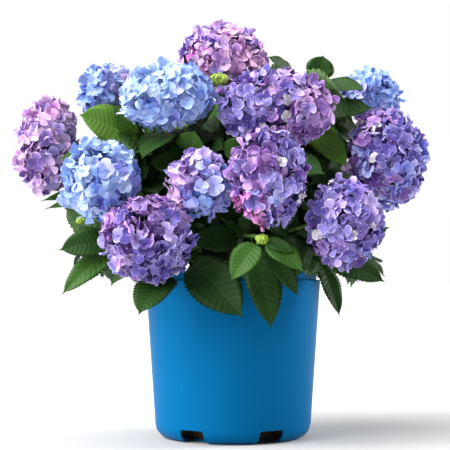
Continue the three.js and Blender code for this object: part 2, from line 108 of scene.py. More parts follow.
def around(sides: int) -> np.ndarray:
    """The angles of points evenly spaced round a circle, in radians."""
    return np.arange(sides) * 2 * math.pi / sides


def arc(middle: Pair, size: Pair, start: float, end: float, count: int) -> list[Pair]:
    """Points along a part of an ellipse.

    Args:
        middle: Its middle.
        size: Its half width and its half height.
        start: The first point's angle in degrees.
        end: The last point's angle.
        count: How many points there are.

    Returns:
        The points.
    """
    angles = np.radians(np.linspace(start, end, count))
    return [(middle[0] + size[0] * math.cos(a), middle[1] + size[1] * math.sin(a)) for a in angles]


def globe(rises: Shares | np.ndarray, sides: int) -> np.ndarray:
    """Directions in rings at the given rises in degrees, ring after ring."""
    return np.array([looking(math.degrees(a), rise) for rise in rises for a in around(sides)])


def spiral(count: int, turn: float) -> np.ndarray:
    """Directions spaced evenly over a ball, along a spiral from pole to pole.

    Args:
        count: How many there are.
        turn: How far the spiral is turned, in radians.

    Returns:
        One direction of length one in each row.
    """
    index = np.arange(count)
    rise = 1 - (2 * index + 1) / count
    spread = np.sqrt(1 - rise**2)
    angle = index * math.pi * (3 - math.sqrt(5)) + turn
    return np.stack([spread * np.cos(angle), spread * np.sin(angle), rise], 1)


def spokes(axes: np.ndarray, aside: Place, sides: int) -> np.ndarray:
    """Directions evenly spaced round each of many axes.

    Args:
        axes: The axes, of length one.
        aside: A direction that the first spoke of each is at right angles to.
        sides: How many spokes each has.

    Returns:
        The directions, for each axis and each spoke.
    """
    first = unit(np.cross(axes, aside))
    angles = around(sides)[:, None]
    return np.cos(angles) * first[:, None] + np.sin(angles) * np.cross(axes, first)[:, None]


def ring_faces(rings: int, sides: int, closed: bool = True) -> np.ndarray:
    """The quads between rings of points that follow each other.

    Args:
        rings: How many rings there are.
        sides: How many points each has.
        closed: True if a ring's last point joins its first.

    Returns:
        One row of four corners for each quad.
    """
    ring, side = np.meshgrid(np.arange(rings - 1), np.arange(sides if closed else sides - 1), indexing="ij")
    start, after = ring * sides + side, ring * sides + (side + 1) % sides
    return np.stack([start, after, after + sides, start + sides], axis=-1).reshape(-1, 4)


def turned_shape(profile: list[Pair], sides: int) -> Shape:
    """A closed profile turned round the pot's axis.

    Args:
        profile: Radius and height of each of its points, none of them on the axis.
        sides: How many steps the turn takes.

    Returns:
        The points and the quads.
    """
    angles = around(sides)
    rings = [np.stack([r * np.cos(angles), r * np.sin(angles), np.full(sides, z)], 1) for r, z in profile]
    return np.concatenate(rings), ring_faces(len(profile) + 1, sides) % (len(profile) * sides)


def copies(points: np.ndarray, faces: np.ndarray) -> Shape:
    """Joins many shapes that have the same faces.

    Args:
        points: The points of each shape, one shape after another.
        faces: The faces of one of them.

    Returns:
        All the points, and the faces of every shape.
    """
    offsets = np.arange(len(points))[:, None, None] * points.shape[1]
    return points.reshape(-1, 3), (faces + offsets).reshape(-1, faces.shape[1])


@dataclass
class Chances:
    """A repeatable source of numbers from 0 to 1, which draws the same ones as the solids' rule."""

    state: int

    def __call__(self) -> float:
        """Draws the next number.

        Returns:
            A number from 0 up to 1.
        """
        self.state = mixed = (self.state + STRIDE) & WORD
        mixed = ((mixed ^ (mixed >> 15)) * (mixed | 1)) & WORD
        mixed ^= (mixed + (mixed ^ (mixed >> 7)) * (mixed | 61)) & WORD
        return ((mixed ^ (mixed >> 14)) & WORD) / (WORD + 1)


@dataclass(frozen=True)
class Curve:
    """A Bezier curve, by its control points."""

    controls: np.ndarray

    def point(self, t: np.ndarray | float) -> np.ndarray:
        """The curve's points at its parameter's values.

        Args:
            t: One value or many, from 0 at the foot to 1 at the tip.

        Returns:
            The points, with the shape of t and one more axis for X, Y and Z.
        """
        degree = len(self.controls) - 1
        t = np.asarray(t, float)[..., None]
        weights = [math.comb(degree, i) * t**i * (1 - t) ** (degree - i) for i in range(degree + 1)]
        return sum(weight * control for weight, control in zip(weights, self.controls))

    def tangent(self, t: np.ndarray | float) -> np.ndarray:
        """The curve's directions at its parameter's values."""
        return unit(Curve(np.diff(self.controls, axis=0)).point(t))

    def _lengths(self) -> tuple[np.ndarray, np.ndarray]:
        """How the curve's length grows along it.

        Returns:
            The parameter at many places, and how long the curve is up to each.
        """
        t = np.linspace(0, 1, CURVE_STEPS + 1)
        steps = np.linalg.norm(np.diff(self.point(t), axis=0), axis=1)
        return t, np.concatenate(([0.0], np.cumsum(steps)))

    def length(self) -> float:
        """How long the curve is."""
        return float(self._lengths()[1][-1])

    def even(self, share: np.ndarray | float) -> np.ndarray:
        """The parameter at a share of the curve's length."""
        t, lengths = self._lengths()
        return np.interp(np.asarray(share) * lengths[-1], lengths, t)


def show(name: str, data: bpy.types.ID) -> bpy.types.Object:
    """Puts a mesh, a light or a camera in the scene.

    Args:
        name: The new object's name.
        data: What it shows.

    Returns:
        The new object.
    """
    made = bpy.data.objects.new(name, data)
    bpy.context.scene.collection.objects.link(made)
    return made


@dataclass
class Stock:
    """Points and faces that are gathered for one piece, each face with the number of its finish."""

    finishes: list[Finish] = field(default_factory=list)
    points: list[np.ndarray] = field(default_factory=list)
    faces: list[np.ndarray] = field(default_factory=list)
    numbers: list[np.ndarray] = field(default_factory=list)
    count: int = 0

    def number(self, finish: Finish) -> int:
        """The number that a finish has in this piece.

        Args:
            finish: The finish, which takes the next number if it is new here.

        Returns:
            Its number.
        """
        if finish not in self.finishes:
            self.finishes.append(finish)
        return self.finishes.index(finish)

    def add(self, points: np.ndarray, number: int | np.ndarray, *faces: np.ndarray) -> None:
        """Adds some points and the faces between them.

        Args:
            points: The points, in millimetres.
            number: The finish's number, one for all of the faces or one for each.
            *faces: Faces of three or four corners, counted from the first of these points.
        """
        for some in faces:
            self.faces.append(some + self.count)
            self.numbers.append(np.broadcast_to(number, len(some)))
        self.points.append(points)
        self.count += len(points)

    def add_tube(self, path: np.ndarray, radii: np.ndarray, number: int) -> None:
        """Adds a closed tube along a path.

        Args:
            path: The points along its middle.
            radii: Its radius for each point of the path and each side.
            number: Its finish's number.
        """
        rings, sides = radii.shape
        tangents = unit(np.gradient(path, axis=0))
        across = unit(np.cross(tangents[0], (0.31, 0.94, 0.12)))
        angles = around(sides)
        points = []
        for centre, tangent, ring in zip(path, tangents, radii):
            across = unit(across - tangent * np.dot(across, tangent))
            rim = np.outer(np.cos(angles), across) + np.outer(np.sin(angles), np.cross(tangent, across))
            points.append(centre + rim * ring[:, None])
        start = np.arange(sides)
        after = (start + 1) % sides
        last, foot = (rings - 1) * sides, np.full(sides, rings * sides)
        caps = [np.stack([after, start, foot], 1), np.stack([last + start, last + after, foot + 1], 1)]
        self.add(np.concatenate([*points, path[:1], path[-1:]]), number, ring_faces(rings, sides), *caps)

    def piece(self, name: str, slot: str, nodes: list[str]) -> bpy.types.Object:
        """Puts what is gathered in the scene as a piece of the plant, smooth shaded.

        Args:
            name: The piece's name.
            slot: The record's material slot; not used.
            nodes: The frame's nodes that the piece stands for.

        Returns:
            The new object.
        """
        totals = np.concatenate([np.full(len(some), some.shape[1]) for some in self.faces])
        corners = np.concatenate([some.ravel() for some in self.faces])
        mesh = bpy.data.meshes.new(name)
        mesh.vertices.add(self.count)
        mesh.vertices.foreach_set("co", (np.concatenate(self.points) * MM).ravel())
        mesh.loops.add(len(corners))
        mesh.loops.foreach_set("vertex_index", corners.astype(np.int32))
        mesh.polygons.add(len(totals))
        mesh.polygons.foreach_set("loop_start", (np.cumsum(totals) - totals).astype(np.int32))
        for finish in self.finishes:
            mesh.materials.append(finish.material())
        mesh.polygons.foreach_set("material_index", np.concatenate(self.numbers).astype(np.int32))
        mesh.update(calc_edges=True)
        mesh.validate()
        mesh.shade_smooth()
        made = show(name, mesh)
        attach(made, BODY)
        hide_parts(*nodes)
        log.info("%s: %d faces", name, len(mesh.polygons))
        return made


# ---------------------------------------------------------------- finishes

Looks = dict[str, object]  # a value, or the socket that feeds it, for each input by its name


def settle(node: bpy.types.Node, looks: Looks) -> bpy.types.Node:
    """Sets or links a shader node's inputs.

    Args:
        node: The node.
        looks: What each input takes.

    Returns:
        The same node.
    """
    for name, value in looks.items():
        if isinstance(value, bpy.types.NodeSocket):
            node.id_data.links.new(value, node.inputs[name])
        else:
            node.inputs[name].default_value = value
    return node


def noise(
    tree: bpy.types.NodeTree, grain: float, stretch: Place = (1, 1, 1), detail: float = 3
) -> bpy.types.NodeSocket:
    """A noise pattern in the object's own space.

    Args:
        tree: The material's node tree.
        grain: How fine the pattern is, in waves a metre.
        stretch: How many times finer it is along X, Y and Z.
        detail: How many finer layers are added to it.

    Returns:
        The socket that gives the pattern.
    """
    where = tree.nodes.new("ShaderNodeTexCoord").outputs["Object"]
    mapping = settle(tree.nodes.new("ShaderNodeMapping"), {"Scale": stretch, "Vector": where})
    texture = {"Scale": grain, "Detail": detail, "Vector": mapping.outputs["Vector"]}
    return settle(tree.nodes.new("ShaderNodeTexNoise"), texture).outputs["Fac"]


def colour_steps(
    tree: bpy.types.NodeTree, value: bpy.types.NodeSocket, steps: dict[float, str]
) -> bpy.types.NodeSocket:
    """Colours that follow a pattern's value.

    Args:
        tree: The material's node tree.
        value: The socket that gives the pattern.
        steps: The colour at each value from 0 to 1, lowest value first.

    Returns:
        The socket that gives the colour.
    """
    ramp = settle(tree.nodes.new("ShaderNodeValToRGB"), {"Fac": value})
    stops = ramp.color_ramp.elements
    while len(stops) < len(steps):
        stops.new(0.5)
    for stop, (at, code) in zip(stops, steps.items()):
        stop.position = at
        stop.color = linear(code)
    return ramp.outputs["Color"]


def linear(code: str) -> tuple[float, float, float, float]:
    """A colour's linear values and full cover, from its six hexadecimal digits."""
    values = [int(code[i : i + 2], 16) / 255 for i in (0, 2, 4)]
    return (*(v / 12.92 if v <= 0.04045 else ((v + 0.055) / 1.055) ** 2.4 for v in values), 1)


@dataclass(frozen=True)
class Finish:
    """What a surface is like: a colour, its gloss, and how rough and uneven it is close up."""

    name: str
    colour: str
    grain: float = 700.0  # how fine the unevenness is, in waves a metre
    roughness: Pair = (0.45, 0.65)
    bump: float = 0.2
    depth: float = 0.4  # of the unevenness, in millimetres
    gloss: float = 0.3
    stretch: Place = (1, 1, 1)  # how many times finer the unevenness is along X, Y and Z
    detail: float = 3  # how many finer layers it has

    def material(self) -> bpy.types.Material:
        """The finish's material, made the first time that it is asked for."""
        return bpy.data.materials.get(self.name) or self._made()

    def _made(self) -> bpy.types.Material:
        """Makes the material with its node tree.

        Returns:
            The new material.
        """
        made = bpy.data.materials.new(self.name)
        made.use_nodes = True
        made.diffuse_color = linear(self.colour)
        tree = made.node_tree
        shader = tree.nodes["Principled BSDF"]
        height = noise(tree, self.grain, self.stretch, self.detail)
        rough = {"To Min": self.roughness[0], "To Max": self.roughness[1], "Value": height}
        relief = {"Strength": self.bump, "Distance": self.depth * MM, "Height": height}
        looks = {
            "Base Color": linear(self.colour),
            "Specular IOR Level": self.gloss,
            "Roughness": settle(tree.nodes.new("ShaderNodeMapRange"), rough).outputs["Result"],
            "Normal": settle(tree.nodes.new("ShaderNodeBump"), relief).outputs["Normal"],
        }
        settle(shader, looks)
        settle(shader, self.more(tree, height))
        return made

    def more(self, tree: bpy.types.NodeTree, height: bpy.types.NodeSocket) -> Looks:
        """What a kind of finish adds to the plain one's looks.

        Args:
            tree: The material's node tree.
            height: The socket that gives the unevenness.

        Returns:
            What the shader's inputs take.
        """
        return {}


@dataclass(frozen=True)
class PetalFinish(Finish):
    """A petal: soft, a little see-through to light, with a faint crinkle."""

    roughness: Pair = (0.5, 0.72)
    bump: float = 0.25

    def more(self, tree: bpy.types.NodeTree, height: bpy.types.NodeSocket) -> Looks:
        """The light that comes through a petal."""
        return {"Subsurface Weight": 0.15, "Subsurface Radius": (1.0, 0.7, 1.0), "Subsurface Scale": 0.004}


@dataclass(frozen=True)
class LeafFinish(Finish):
    """A living leaf's upper side: a soft gloss over fine cells."""

    grain: float = 900.0
    roughness: Pair = (0.4, 0.56)
    bump: float = 0.3
    depth: float = 0.35
    gloss: float = 0.14


@dataclass(frozen=True)
class PlasticFinish(Finish):
    """Moulded plastic: a soft sheen, a fine grain and faint upright flow lines."""

    grain: float = 1500.0
    roughness: Pair = (0.36, 0.48)
    bump: float = 0.12
    depth: float = 0.1
    gloss: float = 0.03
    stretch: Place = (1, 1, 0.5)
    worn: str = "006ea8"

    def more(self, tree: bpy.types.NodeTree, height: bpy.types.NodeSocket) -> Looks:
        """The flow lines and the handling marks in the colour."""
        steps = {0.3: self.colour, 0.62: self.colour, 0.9: self.worn}
        marks = noise(tree, grain=40, stretch=(1, 1, 0.12), detail=4)
        return {"Base Color": colour_steps(tree, marks, steps)}


@dataclass(frozen=True)
class BarkFinish(Finish):
    """Woody hydrangea bark: dull, furrowed along the limb, and flaking."""

    grain: float = 260.0
    roughness: Pair = (0.75, 0.95)
    bump: float = 0.6
    depth: float = 0.8
    stretch: Place = (1, 1, 0.2)
    detail: float = 6

    def more(self, tree: bpy.types.NodeTree, height: bpy.types.NodeSocket) -> Looks:
        """The dark furrows and the pale flakes in the colour."""
        steps = {0.3: "33241a", 0.47: "6b513a", 0.6: "8f7353", 0.78: "b59b78"}
        return {"Base Color": colour_steps(tree, height, steps)}


@dataclass(frozen=True)
class SoilFinish(Finish):
    """Damp potting mix: dark peat with lighter bark crumbs."""

    grain: float = 330.0
    roughness: Pair = (0.8, 1.0)
    bump: float = 0.8
    depth: float = 1.2

    def more(self, tree: bpy.types.NodeTree, height: bpy.types.NodeSocket) -> Looks:
        """The crumbs in the colour."""
        steps = {0.35: "120c08", 0.5: "2a1c12", 0.62: "4a3220", 0.75: "6d5236"}
        return {"Base Color": colour_steps(tree, height, steps)}


class Tint(Enum):
    """A petal's colour in four steps, from its pale rim to its deepest shade: the rim's step is partly a
    painted highlight on the edges, and the deeper steps are partly painted shade inside the head.
    """

    SKY = ("cedcf9", "b8cef6", "a2bef1", "7d9ce2")
    AZURE = ("b3c9f5", "9ab4ee", "809ee7", "5a78cd")
    PERIWINKLE = ("ccd0f5", "acb2ed", "8389dd", "5054b2")
    VIOLET = ("c2b8ea", "8b80ca", "5e51a3", "2d2270")
    PURPLE = ("bea4d9", "8367af", "563884", "2a1856")
    LILAC = ("dacdf0", "b29edf", "8069ba", "46347e")
    MAUVE = ("e8cbeb", "dab6e5", "bc94d6", "7953a0")
    ORCHID = ("d1afe2", "af86ca", "8259a6", "4a2d70")
    PINK = ("f2cfe8", "e6b1df", "cc8acc", "8f56a2")
    MAGENTA = ("e3abd8", "cd80c4", "aa52a4", "6c2e70")
    CREAM = ("e8e3e0", "d6d0d6", "aea6ba", "787090")

    def finish(self, step: int) -> PetalFinish:
        """The finish of one of the four steps, from 0 for palest to 3 for deepest."""
        return PetalFinish(f"petal_{self.name.lower()}_{step}", self.value[step])


class Green(Enum):
    """A leaf's colours: its upper side, its veins and its underside."""

    # The greens from DARK to YOUNG are partly the leaves' own unlike greens, partly lit and shaded copies
    # of one green: painted light and shade.
    DARK = ("1e3a15", "2c4b1f", "38552d")
    DEEP = ("254418", "355624", "436335")
    MIDDLE = ("345820", "48702e", "52733e")
    BRIGHT = ("4d7528", "64893a", "678648")
    YOUNG = ("638f33", "7ca447", "76954f")

    def finishes(self) -> list[Finish]:
        """The finishes of a leaf in this green.

        Returns:
            Those of its upper side, its veins and its underside.
        """
        name = self.name.lower()
        upper, vein, under = self.value
        return [
            LeafFinish(f"leaf_{name}", upper),
            LeafFinish(f"vein_{name}", vein),
            Finish(f"leaf_under_{name}", under, 900, (0.6, 0.8), 0.3),
        ]


DARK, DEEP, MIDDLE, BRIGHT, YOUNG = Green
STEM_GREEN = Finish("stem_green", "6a8f42", 500, (0.5, 0.7), 0.3)
STALK_PALE = Finish("floret_stalk", "8f9f9a", 600, (0.55, 0.75))
BUD_GREEN = Finish("green_bud", "84a637", 800, (0.4, 0.6), 0.3)
BUD_PALE = Finish("green_bud_pale", "a9c156", 800, (0.4, 0.6), 0.3)
# The dark cores of the flower heads are painted shade: they stand for the shadow deep inside a head.
BLOOM_PAINTED_SHADE = Finish("bloom_painted_shade", "2a1c54", 300, (0.8, 0.95), 0.6, 1.5)
BLUE_BLOOM_PAINTED_SHADE = Finish("blue_bloom_painted_shade", "3a4c94", 300, (0.8, 0.95), 0.6, 1.5)
BARK = BarkFinish("bark", "6d5338")
SOIL = SoilFinish("potting_mix", "2b2019")
CRUMBS = [
    Finish("crumb_peat", "21160e", 500, (0.8, 1.0), 0.6),
    Finish("crumb_bark", "543c27", 500, (0.7, 0.95), 0.6),
    Finish("crumb_light", "84684a", 500, (0.7, 0.95), 0.6),
]
PLASTIC = PlasticFinish("pot_plastic", "006094")


# ---------------------------------------------------------------- pot and potting mix


@dataclass(frozen=True)
class NurseryPot:
    """The pot: a tapered wall on a curved foot, a shoulder, an inset rim and drainage notches."""

    height: float = 229
    shoulder_height: float = 217
    shoulder_radius: float = 122
    rim_radius: float = 117
    body_foot_radius: float = 108.5
    foot_curve_height: float = 20
    underside_radius: float = 91
    floor_ring: float = 60
    wall: float = 2.4
    edge: float = 2.0
    groove: float = 0.7
    sides: int = 180
    notches: int = 6
    first_notch: float = -61.5
    notch_width: float = 36
    notch_height: float = 18
    notch_corner: float = 3.5
    notch_reach: Pair = (77, 132)  # from inside the wall to outside it
    sharp: float = 32  # the angle in degrees from which an edge shows sharp

    def _foot(self, inset: float) -> list[Pair]:
        """The foot curve's profile, from the underside up, at an inset from the outer wall."""
        size = (self.body_foot_radius - self.underside_radius, self.foot_curve_height - inset)
        return arc((self.underside_radius - inset, self.foot_curve_height), size, -90, 0, 10)

    def profile(self) -> list[Pair]:
        """The whole wall's closed profile, with the floor between its two ends.

        Returns:
            Radius and height of each of its points.
        """
        shoulder, ledge = self.shoulder_radius - self.edge, self.shoulder_height - self.edge
        rim, seat, lip, groove = self.rim_radius, self.shoulder_height, self.wall / 2, self.groove
        outer = [(HUB, 0.0), (self.floor_ring, 0.0), *self._foot(0)]
        foot, top = np.array(outer[-1]), np.array((self.shoulder_radius, ledge))
        outer += [tuple(part_way(foot, top, share)) for share in (0.25, 0.5, 0.75, 0.93)]
        outer += arc((shoulder, ledge), (self.edge, self.edge), 0, 90, 6)
        outer += [(rim + groove, seat), (rim - groove, seat - groove), (rim - groove / 2, seat + groove)]
        outer += [(rim, seat + self.edge), (rim, self.height - lip)]
        outer += arc((rim - lip, self.height - lip), (lip, lip), 20, 160, 6)
        inner = [(rim - self.wall, self.height - lip), (rim - self.wall, seat - self.wall)]
        inner += [*self._foot(self.wall)[::-1], (self.floor_ring, self.wall), (HUB, self.wall)]
        return outer + inner

    def _cutter(self, heading: float) -> bpy.types.Object:
        """A block with rounded upper corners that cuts one notch.

        Args:
            heading: The notch's heading in degrees.

        Returns:
            The block, as an object that isn't part of the plant.
        """
        half, corner = self.notch_width / 2, self.notch_corner
        right = [(half, -corner)]
        right += arc((half - corner, self.notch_height - corner), (corner, corner), 0, 90, 6)
        outline = right + [(-y, z) for y, z in right[::-1]]
        out, sides = looking(heading, 0), len(outline)
        across = unit(np.cross(UP, out))
        points = [out * reach + across * y + UP * z for reach in self.notch_reach for y, z in outline]
        faces = [*ring_faces(2, sides).tolist(), list(range(sides))[::-1], list(range(sides, 2 * sides))]
        mesh = bpy.data.meshes.new("notch")
        mesh.from_pydata((np.array(points) * MM).tolist(), [], faces)
        return show("notch", mesh)

    def build(self) -> None:
        """Makes the pot, cuts its notches and dresses it."""
        points, faces = turned_shape(self.profile(), self.sides)
        stock = Stock()
        stock.add(points, stock.number(PLASTIC), faces)
        pot = stock.piece("nursery_pot", "pot", ["pot"])
        for i in range(self.notches):
            block = self._cutter(self.first_notch + 360 * i / self.notches)
            cut = pot.modifiers.new("notch", "BOOLEAN")
            cut.object = block
            cut.solver = "EXACT"
            with bpy.context.temp_override(object=pot, active_object=pot):
                bpy.ops.object.modifier_apply(modifier=cut.name)
            bpy.data.objects.remove(block)
        pot.data.shade_smooth()
        pot.data.set_sharp_from_angle(angle=math.radians(self.sharp))


@dataclass(frozen=True)
class PottingMix:
    """The mix that fills the pot to a low, crumbly mound."""

    pot: NurseryPot
    rim_drop: float = 25
    mound: float = 4
    mound_share: float = 0.28  # of the mound's radius, over which it falls to its edge
    gap: float = 0.3
    sides: int = 96
    rings: int = 26
    foot_reach: float = 74  # the mix stands clear of the drainage notches
    foot_height: float = 20
    unevenness: Pair = (-2.6, 0.6)
    crumbs: int = 1500
    crumb_room: float = 4  # between the crumbs and the mound's edge
    crumb_size: Pair = (0.9, 3.4)
    crumb_shape: Place = (1, 0.7, 0.5)
    crumb_lumps: Pair = (0.5, 1.2)  # how far out a crumb's corners are, least and greatest
    crumb_sunk: float = 0.2  # how deep a crumb lies, against its size
    crumb_shares: Shares = (0.4, 0.4, 0.2)
    seed: int = 61

    @property
    def top(self) -> float:
        """The height of the mound's middle."""
        return self.pot.height - self.rim_drop

    def _edge(self) -> float:
        """Where the mound ends.

        Returns:
            The radius of its edge, along the pot's inner wall.
        """
        pot = self.pot
        run = pot.shoulder_height - pot.wall - pot.foot_curve_height
        rise = (self.top - self.mound - pot.foot_curve_height) / run
        return part_way(pot.body_foot_radius, pot.rim_radius, rise) - pot.wall - self.gap

    def _surface(self, reach: float) -> float:
        """The mound's height at a reach from the pot's axis."""
        fall = (reach / self._edge() - 1) / self.mound_share + 1
        return self.top - self.mound * np.clip(fall, 0, 1)

    def build(self) -> None:
        """Makes the plug of mix and the crumbs that lie on it."""
        rng = np.random.default_rng(self.seed)
        edge, inset, foot = self._edge(), self.pot.wall + self.gap, self.foot_height
        profile = [(HUB, inset), (self.foot_reach, inset), (self.foot_reach, foot)]
        profile += [(self.pot.body_foot_radius - inset, foot + 0.4), (edge, self.top - self.mound)]
        profile += [(r, self._surface(r)) for r in np.linspace(edge, HUB, self.rings)[1:]]
        points, faces = turned_shape(profile, self.sides)
        loose = points[:, 2] > self.top - self.mound - 0.5
        points[loose, 2] += rng.uniform(*self.unevenness, loose.sum())
        stock = Stock()
        stock.add(points, stock.number(SOIL), faces)
        self._scatter(stock, rng)
        stock.piece("potting_mix_crumbly", "potting_mix", ["potting_mix"])

    def _scatter(self, stock: Stock, rng: np.random.Generator) -> None:
        """Lays crumbs of bark and peat on the mound, each an uneven lump of eight faces.

        Args:
            stock: What the mix is gathered in.
            rng: The source of every draw.
        """
        corners = np.array([(1, 0, 0), (-1, 0, 0), (0, 1, 0), (0, -1, 0), (0, 0, 1), (0, 0, -1)], float)
        upper = np.array([(0, 2, 4), (2, 1, 4), (1, 3, 4), (3, 0, 4)])
        faces = np.concatenate((upper, upper[:, [1, 0, 2]] + (0, 0, 1)))
        reach = (self._edge() - self.crumb_room) * np.sqrt(rng.uniform(0.02, 1, self.crumbs))
        angle = rng.uniform(0, 2 * math.pi, self.crumbs)
        size = part_way(*self.crumb_size, rng.uniform(0, 1, self.crumbs) ** 2)
        numbers = [stock.number(crumb) for crumb in CRUMBS]
        for r, a, grown in zip(reach, angle, size):
            axes = np.linalg.qr(rng.normal(size=(3, 3)))[0]
            shape = corners * grown * rng.uniform(*self.crumb_lumps, (6, 1)) * self.crumb_shape
            middle = (r * math.cos(a), r * math.sin(a), self._surface(r) - self.crumb_sunk * grown)
            stock.add(shape @ axes + middle, int(rng.choice(numbers, p=self.crumb_shares)), faces)


# ---------------------------------------------------------------- root crown, canes and stems

CANES: dict[str, Place] = {
    "front_left": (232, 72, 272),
    "left": (178, 88, 300),
    "front": (268, 66, 284),
    "front_right": (322, 80, 280),
    "upper_left": (215, 44, 335),
    "upper_right": (335, 46, 335),
    "top": (110, 22, 372),
    "right": (8, 86, 312),
    "back_left": (135, 78, 290),
    "back": (88, 70, 300),
    "back_right": (42, 78, 288),
}


@dataclass(frozen=True)
class WoodyBase:
    """The root crown on the mix and the canes that rise from it, with their bark's relief."""

    foot: float  # height of the root crown's flat foot
    radius: float = 22
    flare_radius: float = 33.4
    foot_drop: float = 10
    crown_sides: int = 72
    crown_seed: int = 77
    ridges: tuple[Pair, Pair] = ((9, 0.05), (23, 0.03))  # how many, and how deep
    ridge_runs: Pair = (4, 3)  # how far up the crown a ridge takes to drift aside
    burrs: Pair = (-0.03, 0.02)  # how rough its bark is besides
    slimmed: float = 0.97  # the share of the radius that its bark stands at
    cane_foot: float = 4.5
    cane_tip: float = 3.3
    rounded: float = 0.72  # how much of a cane's radius is left at its very tip
    bow: float = 0.08  # how far a cane bows up, against its length
    sunk: float = 2.5  # how far a cane starts inside the root crown
    flare: float = 0.3  # how much thicker a cane is where it leaves the crown
    flare_run: float = 7  # how far along the cane that takes to fade
    furrows: tuple[Pair, ...] = ((3, 0.035), (5, 0.05), (7, 0.04))  # how many, and how deep
    furrow_run: Pair = (9, 22)  # how far along a cane a furrow takes to drift aside
    furrow_drift: float = 1.4
    chips: float = 0.035  # how rough the bark is besides
    joint: float = 0.16  # how much thicker a cane is at a joint
    joint_spacing: float = 34
    joint_shift: float = 12  # how far the joints are moved towards the crown
    joint_run: float = 6  # the square of how far a joint's swelling reaches
    sides: int = 16
    steps: int = 44
    gap: float = 0.3
    cane_seed: int = 300

    def _cane(self, name: str) -> Curve:
        """A cane's line: out of the root crown, steeply at first, then over to its tip.

        Args:
            name: The cane's name.

        Returns:
            The line.
        """
        centre, tip = UP * (self.foot + self.foot_drop), place(*CANES[name])
        foot = centre + unit(tip - centre) * (self.radius + self.gap)
        bend = (foot + tip) / 2 + UP * self.bow * np.linalg.norm(tip - foot)
        return Curve(np.array((foot, bend, tip)))

    def _relief(self, share: np.ndarray, length: float, seed: int) -> np.ndarray:
        """How thick a cane's bark stands, as a share of its radius.

        Args:
            share: How far along the cane each ring is.
            length: The cane's length.
            seed: The number that settles its furrows and joints.

        Returns:
            One number for each ring and side.
        """
        rng = np.random.default_rng(seed)
        along = (share * length)[:, None]
        relief = np.ones((len(share), self.sides))
        for waves, depth in self.furrows:
            phase = rng.uniform(0, 2 * math.pi)
            drift = np.sin(along / rng.uniform(*self.furrow_run) + phase) * self.furrow_drift
            relief += depth * np.sin(waves * around(self.sides) + phase + drift)
        relief += rng.uniform(-self.chips, self.chips, relief.shape)
        past = (along + self.joint_shift) % self.joint_spacing - self.joint_spacing / 2
        at_joint = np.exp(-(past**2) / self.joint_run)
        return relief + self.joint * at_joint + self.flare * np.exp(-along / self.flare_run)

    def build(self) -> None:
        """Makes the root crown and all the canes, each one a closed limb."""
        self._build_crown()
        stock = Stock()
        number = stock.number(BARK)
        share = np.linspace(0, 1, self.steps)
        for i, name in enumerate(CANES):
            line = self._cane(name)
            path = line.point(line.even(share))
            path[0] -= self.sunk * line.tangent(0)
            radii = part_way(self.cane_foot, self.cane_tip, share)[:, None]
            radii = radii * self._relief(share, line.length(), self.cane_seed + i)
            radii[-1] *= self.rounded
            stock.add_tube(path, radii, number)
        stock.piece("canes_bark", "bark", [f"cane_{name}" for name in CANES])

    def _build_crown(self) -> None:
        """Makes the root crown: a burred knuckle that flares to its foot on the mix."""
        foot, flare = self.foot, self.flare_radius
        profile = [(HUB, foot), (flare, foot), (flare - 1.5, foot + 2), (self.radius + 5, foot + 5)]
        profile += arc((0, foot + self.foot_drop), (self.radius, self.radius), 4, 84, 13)
        points, faces = turned_shape(profile, self.crown_sides)
        rng = np.random.default_rng(self.crown_seed)
        heading = np.arctan2(points[:, 1], points[:, 0])
        height = points[:, 2] - foot
        (broad, deep), (fine, slight) = self.ridges
        ridge = deep * np.sin(broad * heading + np.sin(height / self.ridge_runs[0]))
        ridge = ridge + slight * np.sin(fine * heading + height / self.ridge_runs[1])
        swell = 1 + (ridge + rng.uniform(*self.burrs, len(points))) * (height > 0.1)
        points[:, :2] *= swell[:, None] * self.slimmed
        stock = Stock()
        stock.add(points, stock.number(BARK), faces)
        stock.piece("root_crown_bark", "bark", ["root_crown"])


# ---------------------------------------------------------------- leaves

ARCH = 0.12  # how far a leaf's midrib bows up, against its length


@dataclass(frozen=True)
class Leaf:
    """One leaf: its arched midrib, its half width and which way its upper side looks."""

    line: Curve
    half: float
    facing: np.ndarray


def leaf_between(foot: np.ndarray, tip: np.ndarray, half: float, facing: np.ndarray) -> Leaf:
    """The leaf from a foot on its stem to its tip."""
    top = (foot + tip) / 2 + facing * ARCH * np.linalg.norm(tip - foot)
    return Leaf(Curve(np.array((foot, top, tip))), half, facing)


